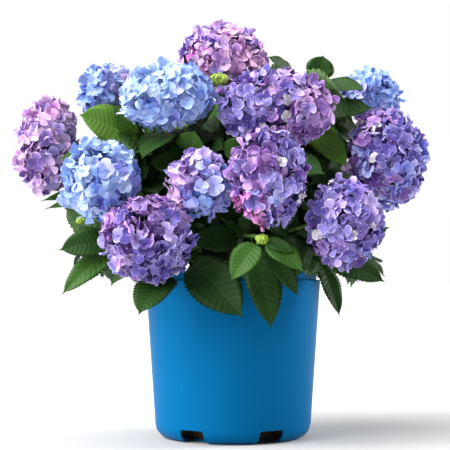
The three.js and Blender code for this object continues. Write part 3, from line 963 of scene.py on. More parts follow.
@dataclass(frozen=True)
class Blade:
    """How a leaf's blade is shaped: its outline, fold, veins and teeth, and how finely it is made."""

    veins: int
    columns: Shares  # of one half, from the midrib's edge to the margin
    puff: float  # how deep the veins lie
    between: int = 3  # rows between one vein and the next
    first_vein: float = 0.05  # its place along the blade
    vein_run: float = 0.8  # the share of the blade that the veins leave from
    crowding: float = 0.92  # below 1, they leave a little closer together towards the tip
    last_row: float = 0.9  # where the rows between veins end
    base_row: float = 0.004
    tip_rows: tuple[Pair, ...] = ((0.93, 1.0), (0.965, -1.0), (0.997, 0.0))  # place, and tooth
    ends: Pair = (0.004, 0.998)  # the least and the greatest place of any point
    petiole: float = 0.16
    base_power: float = 0.52
    tip_power: float = 0.76
    drip: float = 0.06  # share of the blade that its drawn-out tip takes
    drip_width: float = 0.14
    sweep: float = 0.62  # how far forward the veins run
    vein_curve: float = 1.15  # how much they curve
    vein_width: float = 0.0045
    fold: float = 0.16
    fold_curve: float = 1.3  # how much the fold's sides curve up
    full_puff: float = 12  # the half width from which the veins lie at their full depth
    margin_puff: float = 0.25  # the share of that depth at the margin
    waves: Pair = (1.2, 2.6)  # how many waves run along a margin
    middle: float = 0.1  # the share of the half width that belongs to the midrib
    tooth: float = 0.05
    wave: float = 0.055  # how high the margin's waves stand, against the half width
    bend: float = 0.05  # how far the blade bends aside, against it
    groove: float = 0.5  # how deep the midrib lies
    rib: float = 0.9  # how far it stands out below
    thickness: float = 0.7
    stalk: float = 1.35

    def _outline(self, along: np.ndarray) -> np.ndarray:
        """The blade's outline.

        Args:
            along: Places along the blade, from 0 at its base to 1 at its tip.

        Returns:
            The half width at each, against the widest.
        """
        top = self.base_power / (self.base_power + self.tip_power)
        peak = top**self.base_power * (1 - top) ** self.tip_power
        share = np.minimum(1, along / (1 - self.drip))
        body = share**self.base_power * (1 - share) ** self.tip_power / peak
        tip = self.drip_width * (1 - along) / (2 * self.drip)
        return np.where(along > 1 - 2 * self.drip, np.maximum(body, tip), body)

    def _rows(self) -> list[np.ndarray]:
        """The blade's rows from its base to its tip.

        Returns:
            Where each row leaves the midrib, 1 on a vein and -1 between two, and 1 on a tooth
            and -1 in a notch of the margin.
        """
        share = (np.arange(self.veins) / self.veins) ** self.crowding
        starts = self.first_vein + self.vein_run * share
        rows = [(self.base_row, 0.0, 0.0)]
        for start, end in zip(starts, [*starts[1:], self.last_row]):
            rows += [(start - self.vein_width, 1.0, 1.0), (start + self.vein_width, 1.0, 1.0)]
            for i in range(self.between):
                at = part_way(start, end, (i + 1) / (self.between + 1))
                rows.append((at, -1.0, 1.0 if i % 2 else -1.0))
        rows += [(at, 0.0, tooth) for at, tooth in self.tip_rows]
        return [np.array(column) for column in zip(*rows)]

    def _points(self, leaf: Leaf, rng: np.random.Generator) -> np.ndarray:
        """The points of a leaf's upper side, then those of its underside.

        Args:
            leaf: The leaf.
            rng: What its waves are drawn from.

        Returns:
            The points in millimetres.
        """
        start, vein, tooth = (row[:, None] for row in self._rows())
        across = np.concatenate((-np.array(self.columns)[::-1], self.columns))[None]
        size = np.abs(across)
        forward = self.sweep * size**self.vein_curve * start * (1 - start)
        along = np.clip(start + forward, *self.ends)
        t = self.petiole + (1 - self.petiole) * along
        tangent = leaf.line.tangent(t)
        side = unit(np.cross(leaf.facing, tangent))
        upper = np.cross(tangent, side)
        half = leaf.half * self._outline(along)
        reach = across * half * (1 + self.tooth * tooth * (size > 0.99))
        waves, phase = rng.uniform(*self.waves), rng.uniform(0, 2 * math.pi, 2)
        wave = np.sin(waves * CYCLE * along + np.where(across > 0, *phase))
        lift = self.fold * half * size**self.fold_curve + self.wave * half * size**2 * wave
        puff = self.margin_puff + (1 - self.margin_puff) * (1 - size**2)
        lift -= self.puff * vein * puff * np.minimum(1, half / self.full_puff)
        lift -= self.groove * (size < self.middle)
        bend = self.bend * rng.uniform(-1, 1) * leaf.half * np.sin(math.pi * along)
        top = leaf.line.point(t) + side * (reach + bend)[..., None] + upper * lift[..., None]
        rib = self.thickness + self.rib * (size < self.middle) * (1 - along)
        bottom = (top - upper * rib[..., None])[1:-1, 1:-1]
        return np.concatenate((top.reshape(-1, 3), bottom.reshape(-1, 3)))

    def _faces(self) -> tuple[np.ndarray, np.ndarray]:
        """The blade's quads and what each belongs to.

        Returns:
            The quads, and for each 0 on the upper side, 1 on a vein and 2 on the underside.
        """
        starts, vein, _ = self._rows()
        rows, columns = len(starts), 2 * len(self.columns)
        quads = ring_faces(rows, columns, closed=False)
        row, column = quads[:, 0] // columns, quads[:, 0] % columns
        on_vein = (vein[row] > 0) & (vein[row + 1] > 0)
        kinds = np.where(on_vein | (column == len(self.columns) - 1), 1, 0)
        below = np.arange(rows * columns).reshape(rows, columns)
        inside = below[1:-1, 1:-1]
        inside[:] = rows * columns + np.arange(inside.size).reshape(inside.shape)
        under = below.ravel()[quads]
        return np.concatenate((quads[:, ::-1], under)), np.concatenate((kinds, np.full(len(under), 2)))

    def add(self, stock: Stock, leaf: Leaf, green: Green, rng: np.random.Generator) -> None:
        """Adds a leaf with its stalk to a piece.

        Args:
            stock: What the piece is gathered in.
            leaf: The leaf.
            green: Its colours.
            rng: What its waves are drawn from.
        """
        quads, kinds = self._faces()
        numbers = np.array([stock.number(finish) for finish in green.finishes()])
        stock.add(self._points(leaf, rng), numbers[kinds], quads)
        share = np.linspace(0, self.petiole + 0.012, 5)
        radii = np.tile(part_way(self.stalk, self.stalk * 0.7, share / share[-1])[:, None], (1, 6))
        stock.add_tube(leaf.line.point(share), radii, numbers[1])


FINE_BLADE = Blade(veins=9, columns=(0.028, 0.36, 0.7, 1.0), puff=0.22)
RULE_BLADE = Blade(veins=5, columns=(0.035, 0.52, 1.0), puff=0.35)


@dataclass(frozen=True)
class LeafRule:
    """Where leaf pairs leave a stem, how they stand, how large they grow and what room they need."""

    room: float = 9  # how far from any other leaf a leaf stays
    widest: float = 235  # the reach that it keeps to
    frontmost: float = -140
    below_head: float = 6  # how far below a flower head the first pair leaves
    spacing: float = 30
    lowest: float = 0.1
    length: Pair = (90, 128)
    width_share: float = 0.64
    outward: float = 0.9
    forward: float = 0.36
    wobble: float = 0.5  # how far a leaf strays from its quarter turn, in radians
    lift: float = 0.9  # how much a leaf's upper side looks up, against outwards
    droop: Pair = (0.1, 0.6)
    stunted: Shares = (1, 0.72)  # the sizes that it may take

    def pairs(self, stem: Curve, head_depth: float, chance: Chances) -> list[list[Leaf]]:
        """The leaf pairs of a stem, each pair a quarter turn round from the last.

        Args:
            stem: The stem's line.
            head_depth: How much of its end a flower head takes.
            chance: The source of every draw.

        Returns:
            For each leaf, its form at every size that it may take, largest first.
        """
        whole = stem.length()
        phase = chance() * math.pi
        leaves = []
        at, pair = whole - head_depth - self.below_head, 0
        while at - pair * self.spacing > self.lowest * whole:
            t = stem.even((at - pair * self.spacing) / whole)
            foot, tangent = stem.point(t), stem.tangent(t)
            level = unit(np.cross(tangent, UP))
            facing = unit(foot * (1, 1, 0)) + UP * self.lift
            for side in (0, math.pi):
                turn = phase + pair * math.pi / 2 + side + self.wobble * (chance() - 0.5)
                size = part_way(*self.length, chance())
                reach = unit(turned(level, tangent, turn) * self.outward + tangent * self.forward)
                reach = unit(reach - UP * part_way(*self.droop, chance()))
                grown = [stunted * size for stunted in self.stunted]
                half = self.width_share / 2
                leaves.append([leaf_between(foot, foot + reach * g, g * half, facing) for g in grown])
            pair += 1
        return leaves


LEAF_RULE = LeafRule()
FINER_RULE = LeafRule(
    room=8,
    widest=215,
    frontmost=-125,
    below_head=17,
    spacing=21,
    lowest=0.04,
    length=(58, 92),
    droop=(-0.1, 0.7),
    stunted=(1, 0.75, 0.55),
)


# ---------------------------------------------------------------- flower heads

BLUE, VIOLET, PINK = "bloom_blue", "bloom_violet", "bloom_pink"  # material slots


@dataclass(frozen=True)
class Blush:
    """A petal colour of a head, how common it is, and where on the head it gathers."""

    tint: Tint
    share: float
    right: float = 0  # how far it keeps to the right, as seen from the front
    top: float = 0  # how far it keeps to the top


def mix(**tints: float | Shares) -> tuple[Blush, ...]:
    """The petal colours of a head.

    Args:
        **tints: For each tint, its share alone, or with how far it keeps to the right and the top.

    Returns:
        One blush for each tint, in the same order.
    """
    return tuple(Blush(Tint[name.upper()], *np.atleast_1d(given)) for name, given in tints.items())


@dataclass(frozen=True)
class Mophead:
    """A flower head: its cane, its place and half sizes, its slot and its petal colours."""

    cane: str
    at: Place
    half: Place
    slot: str
    blushes: tuple[Blush, ...]
    eye: Tint = Tint.CREAM
    open_side: int = -1  # -1 for a head that the front shows whole, and 1 for one at the back
    flattened: float = 0.3  # how much of the depth the side round the stalk has lost
    tone: float = 0.0  # how much deeper its petals are than the usual
    depth: float = 1.0  # how much deeper still its inner petals are, against the usual, as painted shade

    @property
    def centre(self) -> np.ndarray:
        """The middle of the head."""
        return place(*self.at)

    def florets(self, spacing: float) -> int:
        """How many florets cover a ball of the head's mean size."""
        return round(4 * math.pi * (sum(self.half) / 3) ** 2 / spacing**2)

    def point(self, ways: np.ndarray, depth: np.ndarray | float) -> np.ndarray:
        """The places of directions from the head's centre, at a depth under its surface.

        Args:
            ways: Directions of length one.
            depth: The depth of each, or one for all.

        Returns:
            The points.
        """
        inward = np.maximum(0, -ways @ unit(self.centre - HEART))
        share = 1 - self.flattened * inward**2
        half = np.array(self.half) - np.broadcast_to(depth, len(ways))[:, None]
        return ways * half * share[:, None] + self.centre

    def crowded(self, points: np.ndarray, room: float, screen: float) -> bool:
        """True if any of the points is inside the head or hides it.

        Args:
            points: The points.
            room: How much of the head's size they stay out of.
            screen: How much of its width they leave free on the side that shows it.

        Returns:
            True if one of them is in the way.
        """
        away = (points - self.centre) / np.array(self.half)
        before = away[:, 1] * self.open_side > 0
        hides = before & (np.hypot(away[:, 0], away[:, 2]) < screen)
        return bool((hides | (np.linalg.norm(away, axis=1) < room)).any())


@dataclass(frozen=True)
class PetalGrid:
    """The points of one petal: how far out each row is, how wide, and where its columns run."""

    along: Shares
    widths: Shares
    across: Shares

    def zones(self) -> np.ndarray:
        """Which of the petal's faces are its rim, which take a paler step: partly the petal's own paler
        margin, partly a painted highlight where its edge catches the light.

        Returns:
            1 for each face of the rim, and 0 for the others.
        """
        zones = np.zeros((len(self.along) - 1, len(self.across) - 1), int)
        if len(self.across) > 3:
            zones[1:, [0, -1]] = 1
            zones[-1] = 1
        return zones.ravel()


FULL_PETAL = PetalGrid(
    (0.07, 0.36, 0.66, 0.88, 1.0), (0.08, 0.43, 0.56, 0.42, 0.09), (-1, -0.86, 0, 0.86, 1)
)
PLAIN_PETAL = PetalGrid((0.07, 0.4, 0.75, 1.0), (0.09, 0.46, 0.5, 0.2), (-1, 0, 1))


@dataclass(frozen=True)
class FloretShape:
    """How a floret is made: four broad petals round a small eye, on a thin stalk."""

    radius: float = 10.9
    spread: float = 0.2  # how unlike each other the florets' sizes are
    petal_spread: float = 0.1  # and the petals' of one floret
    breadth: float = 0.12  # how unlike each other the petals' widths are
    rise: Pair = (0.0, 0.6)  # how steeply a floret's petals rise from its eye
    petal_rise: Pair = (-0.2, 0.25)  # how much more one of them does
    curl: Pair = (-0.7, 0.15)  # how far a petal's end turns up
    cup: Pair = (-0.2, 1.1)  # how far its sides do
    ripple: Pair = (0.03, 0.13)
    ripple_runs: Pair = (5.5, 3.2)  # how fast it runs along a petal and across it
    over: float = 0.05  # how far every other petal stands above its neighbours
    lean: float = 0.55
    swing: float = 0.14  # how far a petal is turned out of its quarter, in radians
    eye_radius: float = 1.15
    eye_sides: int = 5
    eye_rings: tuple[Pair, ...] = ((0.75, -0.1), (1.0, 0.5), (0.62, 1.15))  # reach and rise
    eye_top: float = 1.4
    stalk_radius: float = 0.6

    def petals(
        self, florets: Shape, size: np.ndarray, grid: PetalGrid, rng: np.random.Generator
    ) -> Shape:
        """The petals of many florets.

        Args:
            florets: Where they are, and which way each one faces.
            size: How large each one is, against the full size.
            grid: Where a petal's points are.
            rng: The source of every draw.

        Returns:
            The points and the quads, petal after petal.
        """
        centres, axes = florets
        count = len(centres)
        along, across = np.array(grid.along)[:, None], np.array(grid.across)
        aside = np.array(grid.widths)[:, None] * across
        floret = partial(rng.uniform, size=(count, 1, 1, 1))
        petal = partial(rng.uniform, size=(count, 4, 1, 1))
        grown = self.radius * size.reshape(count, 1, 1, 1) * (1 + self.spread * floret(-1, 1))
        grown = grown * (1 + self.petal_spread * petal(-1, 1))
        broad = 1 + self.breadth * petal(-1, 1)
        rise = floret(*self.rise) + petal(*self.petal_rise)
        up = rise * along + petal(*self.curl) * along**3 + petal(*self.cup) * aside**2
        forth, over = self.ripple_runs
        ripple = petal(*self.ripple) * np.sin(petal(0, CYCLE) + forth * along + over * across)
        up = up + ripple * along + self.over * (np.arange(4) % 2).reshape(1, 4, 1, 1)
        aside = grown * aside * broad
        up = grown * up + aside * petal(-self.lean, self.lean)
        first = unit(np.cross(axes, rng.normal(size=(count, 3))))[:, None]
        second = np.cross(axes, first[:, 0])[:, None]
        turn = np.arange(4) * math.pi / 2 + rng.uniform(-self.swing, self.swing, (count, 4))
        cosine, sine = np.cos(turn)[..., None], np.sin(turn)[..., None]
        ways = (cosine * first + sine * second, cosine * second - sine * first, axes[:, None])
        points = centres.reshape(count, 1, 1, 1, 3)
        for far, way in zip((grown * along, aside, up), ways):
            points = points + far[..., None] * way[:, :, None, None]
        faces = ring_faces(len(grid.along), len(grid.across), closed=False)
        return copies(points.reshape(4 * count, -1, 3), faces)

    def eyes(self, centres: np.ndarray, axes: np.ndarray) -> Shape:
        """The small domed eye of every floret.

        Args:
            centres: Where the florets are.
            axes: Which way each one faces.

        Returns:
            The points and the triangles.
        """
        sides = self.eye_sides
        centres, axes, rim = centres[:, None], axes[:, None], spokes(axes, (0.3, 0.5, 0.81), sides)
        rings = [centres + self.eye_radius * (reach * rim + rise * axes) for reach, rise in self.eye_rings]
        points = np.concatenate([*rings, centres + self.eye_radius * self.eye_top * axes], 1)
        quads = ring_faces(len(rings), sides)
        last = quads[-sides:, [3, 2]]
        cap = np.column_stack([last, np.full(sides, len(rings) * sides)])
        return copies(points, np.concatenate((quads[:, [0, 1, 2]], quads[:, [0, 2, 3]], cap)))

    def stalks(self, feet: np.ndarray, ends: np.ndarray) -> Shape:
        """The thin three-sided stalks that carry the florets.

        Args:
            feet: Where they start.
            ends: Where they end.

        Returns:
            The points and the quads.
        """
        rim = spokes(unit(ends - feet), (0.2, 0.9, 0.4), 3) * self.stalk_radius
        return copies(np.concatenate([feet[:, None] + rim, ends[:, None] + rim], 1), ring_faces(2, 3))


@dataclass(frozen=True)
class Coat:
    """One layer of a head's florets."""

    spacing: float
    depth: Pair  # of their eyes under the head's surface, least and greatest
    size: float
    petal: PetalGrid
    shade: float  # how many steps deeper in colour its petals are: painted shade for a coat that lies deep in the head
    eyed: bool


@dataclass
class HeadBuilder:
    """How a head is filled: an outer coat of florets, an inner one, and a dark core under them that is
    painted shade.
    """

    head: Mophead
    rng: np.random.Generator  # the source of every draw
    stock: Stock = field(default_factory=Stock)
    floret: FloretShape = FloretShape()
    outer: Coat = Coat(13.6, (3.0, 11.5), 1.0, FULL_PETAL, 0.0, True)
    # The inner coat is dealt deeper steps as painted shade deep inside the head.
    inner: Coat = Coat(18.5, (15.0, 20.0), 0.95, PLAIN_PETAL, 1.2, False)
    # The core is a dark ball under the coats, painted shade in the head's depths; the florets' stalks start
    # at its depth.
    core_depth: float = 25.0
    core_burrs: float = 3.0
    core_rings: int = 10
    core_sides: int = 16
    scatter: float = 0.05  # how far the florets are out of their even spacing
    flatness: float = 1.4  # how strongly they face the way of the head's shorter axes
    tilt: float = 0.52
    young: float = 0.62  # the size of a floret that is still cream, against the full size
    step: float = 1.35  # the usual petal's step of its tint
    steps_apart: Pair = (0.4, 0.28)  # how unlike the florets' steps are, and the petals' of one
    gather: float = 2.0  # how strongly a colour keeps to its side
    speckle: float = 0.6  # how mixed the colours are

    def build(self, name: str) -> None:
        """Makes the head.

        Args:
            name: The head's name.
        """
        self._add_coat(self.outer)
        self._add_coat(self.inner)
        ways = globe(np.linspace(86, -86, self.core_rings), self.core_sides)
        burrs = self.rng.uniform(-self.core_burrs, self.core_burrs, len(ways))
        # The core's dark colour is painted shade, bluer for the blue heads.
        shade = self.stock.number(BLUE_BLOOM_PAINTED_SHADE if self.head.slot == BLUE else BLOOM_PAINTED_SHADE)
        faces = ring_faces(self.core_rings, self.core_sides)
        self.stock.add(self.head.point(ways, self.core_depth + burrs), shade, faces)
        self.stock.piece(f"bloom_{name}", self.head.slot, [f"flowering_shoot_{name}"])

    def _add_coat(self, coat: Coat) -> None:
        """Adds one coat of florets.

        Args:
            coat: How they are spaced and made.
        """
        head, rng, stock = self.head, self.rng, self.stock
        count = head.florets(coat.spacing)
        even = spiral(count, rng.uniform(0, CYCLE))
        ways = unit(even + rng.normal(scale=self.scatter, size=(count, 3)))
        depths = rng.uniform(*coat.depth, count)
        normals = unit(ways / np.array(head.half) ** self.flatness)
        axes = unit(normals + rng.normal(scale=self.tilt, size=(count, 3)))
        tints = self._tints(ways)
        young = np.array([tint is Tint.CREAM for tint in tints])
        centres = head.point(ways, np.where(young, sum(coat.depth) / 3, depths))
        size = np.where(young, self.young, coat.size)
        points, quads = self.floret.petals((centres, axes), size, coat.petal, rng)
        stock.add(points, self._petal_numbers(tints, coat), quads)
        if coat.eyed:
            eyes, triangles = self.floret.eyes(centres, axes)
            stock.add(eyes, stock.number(head.eye.finish(1)), triangles)
            stalks, walls = self.floret.stalks(head.point(ways, self.core_depth), centres)
            stock.add(stalks, stock.number(STALK_PALE), walls)

    def _petal_numbers(self, tints: list[Tint], coat: Coat) -> np.ndarray:
        """The finish of every petal face: one tint for a floret, one step of it for a petal.

        Args:
            tints: Each floret's tint.
            coat: The coat that the florets are in.

        Returns:
            One number for each face.
        """
        table = np.array([[self.stock.number(tint.finish(i)) for i in range(4)] for tint in tints])
        # A coat's shade adds deeper steps to its petals as painted shade.
        usual = self.step + self.head.tone + coat.shade * self.head.depth
        among, within = self.steps_apart
        step = self.rng.normal(usual, among, (len(tints), 1)) + self.rng.normal(0, within, (len(tints), 4))
        # Rim faces take one step paler: partly the petals' own paler margins, partly a painted highlight on
        # their edges.
        step = np.clip(np.round(step), 1, 3).astype(int)[..., None] - coat.petal.zones()
        return np.take_along_axis(table, step.reshape(len(tints), -1), axis=1).ravel()

    def _tints(self, ways: np.ndarray) -> list[Tint]:
        """Deals a colour to every floret of the head.

        Args:
            ways: Each floret's direction from the head's centre.

        Returns:
            One colour for each floret.
        """
        scores = []
        for blush in self.head.blushes:
            pull = self.gather * (ways[:, 0] * blush.right + ways[:, 2] * blush.top)
            scores.append(math.log(blush.share) + pull + self.speckle * self.rng.gumbel(size=len(ways)))
        return [self.head.blushes[i].tint for i in np.argmax(scores, axis=0)]


def back_head(cane: str, at: Place, half: Place, **tints: float | Shares) -> Mophead:
    """A violet head at the back of the crown."""
    return Mophead(cane, at, half, VIOLET, mix(**tints), open_side=1)


MOPHEADS: dict[str, Mophead] = {
    "top_pink": Mophead(
        "top", (118, 34, 535), (62, 57, 50), PINK,
        mix(mauve=1, pink=(0.8, 0.3, -0.3), magenta=0.22, lilac=(0.3, -0.4, 0.6), purple=(0.3, 0.7, 0.1)),
        tone=-0.12, depth=0.7,
    ),
    "upper_blue": Mophead(
        "upper_left", (226, 125, 460), (63, 50, 48), BLUE,
        mix(sky=(1, -0.3, 0.4), azure=(0.8, 0.7, -0.4), periwinkle=(0.15, 0.5, -0.5)),
        Tint.SKY, depth=0.5,
    ),
    "left_back_blue": Mophead(
        "upper_left", (158, 194, 489), (48, 50, 43), BLUE,
        mix(periwinkle=1, azure=(0.7, -0.4, 0.3), lilac=(0.3, 0.5, 0.3)),
        Tint.SKY, tone=-0.15, depth=0.2,
    ),
    "far_left_mauve": Mophead(
        "left", (182, 258, 403), (45, 53, 69), PINK,
        mix(mauve=(1, -0.4, 0.4), lilac=(0.7, 0, 0.3), purple=(0.3, 0.5, -0.6), pink=(0.25, -0.3, 0.6)),
        tone=-0.25, depth=0.5,
    ),
    "left_blue": Mophead(
        "front_left", (217, 214, 346), (53, 48, 53), BLUE,
        mix(sky=(1, -0.5, 0.3), azure=(0.5, 0.5, -0.3), periwinkle=(0.3, 0.8, -0.5)),
        Tint.AZURE, depth=0.5,
    ),
    "lower_left_purple": Mophead(
        "front_left", (238, 203, 269), (61, 48, 54), VIOLET,
        mix(violet=(1, 0.3, -0.4), purple=0.6, orchid=(0.6, 0, 0.7), lilac=0.35, cream=0.2),
    ),
    "centre_lavender": Mophead(
        "front", (254, 154, 340), (42, 41, 45), VIOLET,
        mix(
            lilac=(0.9, -0.5, 0.7), mauve=(0.5, -0.8, 0.5), periwinkle=(0.9, 0.5, -0.7),
            azure=(0.3, 0.8, -0.9),
        ),
        Tint.SKY,
    ),
    "centre_purple": Mophead(
        "front", (283, 186, 346), (51, 45, 62), VIOLET,
        mix(
            purple=1, orchid=(0.7, -0.6, 0.2), violet=(1, 0.8, 0), magenta=(0.25, -0.8, -0.7),
            periwinkle=(0.3, 0.4, -0.8), cream=(0.4, 0, 0.3),
        ),
    ),
    "upper_right_mauve": Mophead(
        "upper_right", (306, 98, 446), (80, 54, 56), PINK,
        mix(
            violet=(0.9, -0.7, -0.2), lilac=0.6, orchid=(1, 0.5, 0.1), mauve=(0.3, 0.8, 0.1),
            cream=(0.33, -0.2, -0.4),
        ),
    ),
    "right_violet": Mophead(
        "front_right", (352, 211, 384), (60, 59, 69), VIOLET,
        mix(
            violet=1, periwinkle=(0.6, 0.3, -0.5), orchid=(0.5, -0.6, 0.3), purple=0.5,
            cream=(0.22, -0.2, 0.3),
        ),
    ),
    "lower_right_lilac": Mophead(
        "front_right", (313, 205, 291), (50, 49, 57), VIOLET,
        mix(
            lilac=(0.8, 0.2, 0.3), violet=1, purple=(0.4, -0.5, -0.5), periwinkle=0.3,
            cream=(0.3, 0.1, 0.2),
        ),
    ),
    "far_right_blue": Mophead(
        "right", (17, 209, 485), (46, 51, 38), BLUE,
        mix(
            azure=(1, 0.4, 0.4), violet=(0.3, -0.6, -0.9), periwinkle=(0.5, -0.5, -0.6),
            sky=(0.2, 0.2, 0.4),
        ),
        Tint.SKY, tone=-0.1, depth=0.2,
    ),
    "back_upper_right": back_head(
        "back", (62, 160, 450), (62, 56, 54), violet=1, lilac=(0.7, 0.4, 0.4), purple=0.5
    ),
    "back_upper_left": back_head(
        "back", (114, 160, 446), (62, 56, 54), periwinkle=1, violet=(0.8, -0.5, 0), lilac=0.4
    ),
    "back_far_right": back_head(
        "back_right", (34, 216, 344), (56, 54, 52), purple=0.9, mauve=(0.7, 0.3, 0.5), violet=0.8
    ),
    "back_low_right": back_head(
        "back_right", (70, 220, 330), (58, 50, 54), lilac=1, violet=(0.9, 0.2, -0.5), cream=0.25
    ),
    "back_low_left": back_head(
        "back_left", (110, 220, 328), (58, 50, 52), violet=1, periwinkle=(0.7, 0, 0.5), purple=0.4
    ),
    "back_far_left": back_head(
        "back_left", (150, 226, 346), (56, 54, 54), mauve=0.8, purple=(0.8, 0.3, -0.5), violet=0.6
    ),
}


# ---------------------------------------------------------------- leafy shoots


@dataclass(frozen=True)
class ShowLeaf:
    """A leaf with its own place: its share of the stem, its tip, its half width and its facing."""

    share: float
    tip: Place
    half: float
    looks: Pair
    # Its green is partly painted light and shade for where the leaf sits.
    green: Green


@dataclass(frozen=True)
class LeafyTip:
    """A leafy shoot: its cane, its growing tip, its show leaves and the green head on it."""

    cane: str
    tip: Place
    leaves: tuple[ShowLeaf, ...] = ()
    green_head: float = 0


LEAFY: dict[str, LeafyTip] = {
    "left_high": LeafyTip("left", (198, 138, 408), (
        ShowLeaf(1, (204, 226, 438), 30, (262, 26), YOUNG),
        ShowLeaf(0.96, (206, 181, 454), 14, (262, 20), BRIGHT),
        ShowLeaf(0.97, (201, 252, 377), 12, (262, 40), MIDDLE),
        ShowLeaf(0.8, (232, 118, 352), 24, (250, 20), DEEP),
        ShowLeaf(0.5, (181, 272, 327), 11, (250, 10), MIDDLE),
        ShowLeaf(0.45, (183, 265, 315), 10, (250, 10), MIDDLE),
    )),
    "left_low": LeafyTip("front_left", (208, 172, 268), (
        ShowLeaf(0.97, (206, 255, 256), 23, (262, 24), DEEP),
        ShowLeaf(0.9, (208, 255, 197), 18, (262, 24), MIDDLE),
    )),
    "left_under": LeafyTip("front_left", (239, 150, 229), (
        ShowLeaf(1, (238, 225, 173), 27, (250, 38), DEEP),
    )),
    "left_bud": LeafyTip("left", (202, 220, 296), green_head=6),
    "front_bud": LeafyTip("front", (281, 188, 268), (
        ShowLeaf(0.96, (269, 202, 216), 19, (262, 24), MIDDLE),
        ShowLeaf(0.93, (293, 220, 227), 18, (285, 30), MIDDLE),
        ShowLeaf(0.97, (291, 209, 251), 10, (285, 20), DEEP),
        ShowLeaf(0.84, (295, 193, 196), 14, (282, 10), DARK),
        ShowLeaf(0.45, (286, 172, 154), 24, (280, 16), DARK),
        ShowLeaf(0.25, (248, 140, 262), 24, (265, 24), DARK),
    ), 8),
    "front_low": LeafyTip("front", (242, 141, 250), (
        ShowLeaf(0.95, (274, 166, 169), 33, (262, 22), DARK),
    )),
    "right_low": LeafyTip("front_right", (330, 132, 250), (
        ShowLeaf(0.96, (327, 168, 168), 14, (292, 14), DARK),
        ShowLeaf(1, (335, 222, 214), 23, (284, 30), DEEP),
        ShowLeaf(0.8, (354, 219, 290), 22, (290, 20), DEEP),
    )),
    "right_high": LeafyTip("right", (350, 118, 492), (
        ShowLeaf(1, (351, 128, 531), 20, (278, 20), DEEP),
        ShowLeaf(0.98, (342, 190, 476), 17, (278, 40), DEEP),
        ShowLeaf(0.72, (345, 199, 453), 18, (278, 24), DEEP),
        ShowLeaf(0.7, (339, 166, 369), 24, (285, 20), BRIGHT),
        ShowLeaf(0.6, (323, 149, 332), 18, (290, 10), DARK),
    )),
    "top_right": LeafyTip("top", (5, 92, 500), (
        ShowLeaf(1, (340, 52, 530), 14, (278, 40), DEEP),
    )),
    "top_bud": LeafyTip("top", (256, 80, 488), green_head=10.5),
    "heart_left": LeafyTip("upper_left", (238, 108, 376), (
        ShowLeaf(1, (248, 136, 412), 23, (262, 20), MIDDLE),
        ShowLeaf(0.8, (222, 150, 372), 22, (262, 24), DEEP),
    )),
    "heart_right": LeafyTip("upper_right", (281, 108, 384), (
        ShowLeaf(0.9, (262, 108, 398), 18, (265, 20), MIDDLE),
    )),
    "heart_far_right": LeafyTip("right", (340, 118, 352), (
        ShowLeaf(1, (345, 122, 404), 16, (285, 10), DARK),
        ShowLeaf(0.8, (328, 150, 318), 22, (290, 10), DARK),
    )),
    "heart_far_left": LeafyTip("upper_left", (196, 118, 350), (
        ShowLeaf(1, (210, 150, 330), 24, (255, 15), DEEP),
        ShowLeaf(0.9, (190, 176, 372), 24, (250, 20), MIDDLE),
    )),
    "left_skirt": LeafyTip("left", (178, 152, 268), (
        ShowLeaf(1, (178, 226, 214), 27, (178, 36), MIDDLE),
        ShowLeaf(0.9, (160, 188, 214), 25, (160, 36), DEEP),
    )),
    "right_skirt": LeafyTip("right", (4, 156, 266), (
        ShowLeaf(1, (4, 216, 222), 27, (4, 36), DEEP),
        ShowLeaf(0.86, (22, 182, 210), 25, (22, 36), MIDDLE),
    )),
    "back_skirt_right": LeafyTip("back_right", (50, 160, 258), (
        ShowLeaf(1, (48, 226, 206), 27, (48, 40), DEEP),
        ShowLeaf(0.9, (20, 196, 214), 25, (20, 40), MIDDLE),
        ShowLeaf(0.9, (78, 186, 200), 25, (78, 40), DEEP),
    )),
    "back_skirt": LeafyTip("back", (92, 150, 262), (
        ShowLeaf(1, (95, 214, 204), 27, (95, 40), MIDDLE),
        ShowLeaf(0.9, (110, 180, 176), 25, (110, 40), DEEP),
        ShowLeaf(0.9, (66, 178, 172), 24, (66, 40), DARK),
    ), 8),
    "back_skirt_left": LeafyTip("back_left", (138, 160, 258), (
        ShowLeaf(1, (143, 232, 208), 27, (143, 40), MIDDLE),
        ShowLeaf(0.9, (122, 190, 190), 25, (122, 40), DEEP),
    )),
    "heart_back": LeafyTip("top", (90, 100, 410)),
    "heart_back_right": LeafyTip("right", (42, 130, 396)),
    "heart_back_left": LeafyTip("back_left", (158, 110, 400)),
}


@dataclass(frozen=True)
class GreenHead:
    """A head that has not opened: a tight cluster of small round buds."""

    buds: int = 58
    size: float = 0.27  # a bud's radius, against the cluster's
    sizes: Pair = (0.7, 1.1)  # least and greatest, against that radius
    shape: Place = (1.32, 1.2, 0.92)  # the cluster's half sizes, against its radius
    depths: Pair = (0.72, 1.0)  # how far out the buds stand
    pale: float = 0.38  # the share of paler buds
    rings: Shares = (78, 40, 0, -40, -78)  # the rises in degrees of a bud's rings of points
    sides: int = 7
    seed: int = 501

    def add(self, stock: Stock, centre: np.ndarray, radius: float, index: int) -> None:
        """Adds one cluster to a piece.

        Args:
            stock: What the piece is gathered in.
            centre: The cluster's middle.
            radius: Its radius.
            index: Its number among the shoots.
        """
        rng = np.random.default_rng(self.seed + index)
        numbers = [stock.number(BUD_GREEN), stock.number(BUD_PALE)]
        ball = globe(self.rings, self.sides)
        faces = ring_faces(len(self.rings), self.sides)[:, ::-1]
        for way in spiral(self.buds, 0.0):
            grown = radius * self.size * rng.uniform(*self.sizes)
            middle = centre + way * (radius * np.array(self.shape) - grown) * rng.uniform(*self.depths)
            number = int(rng.choice(numbers, p=(1 - self.pale, self.pale)))
            stock.add(middle + ball * grown, number, faces)


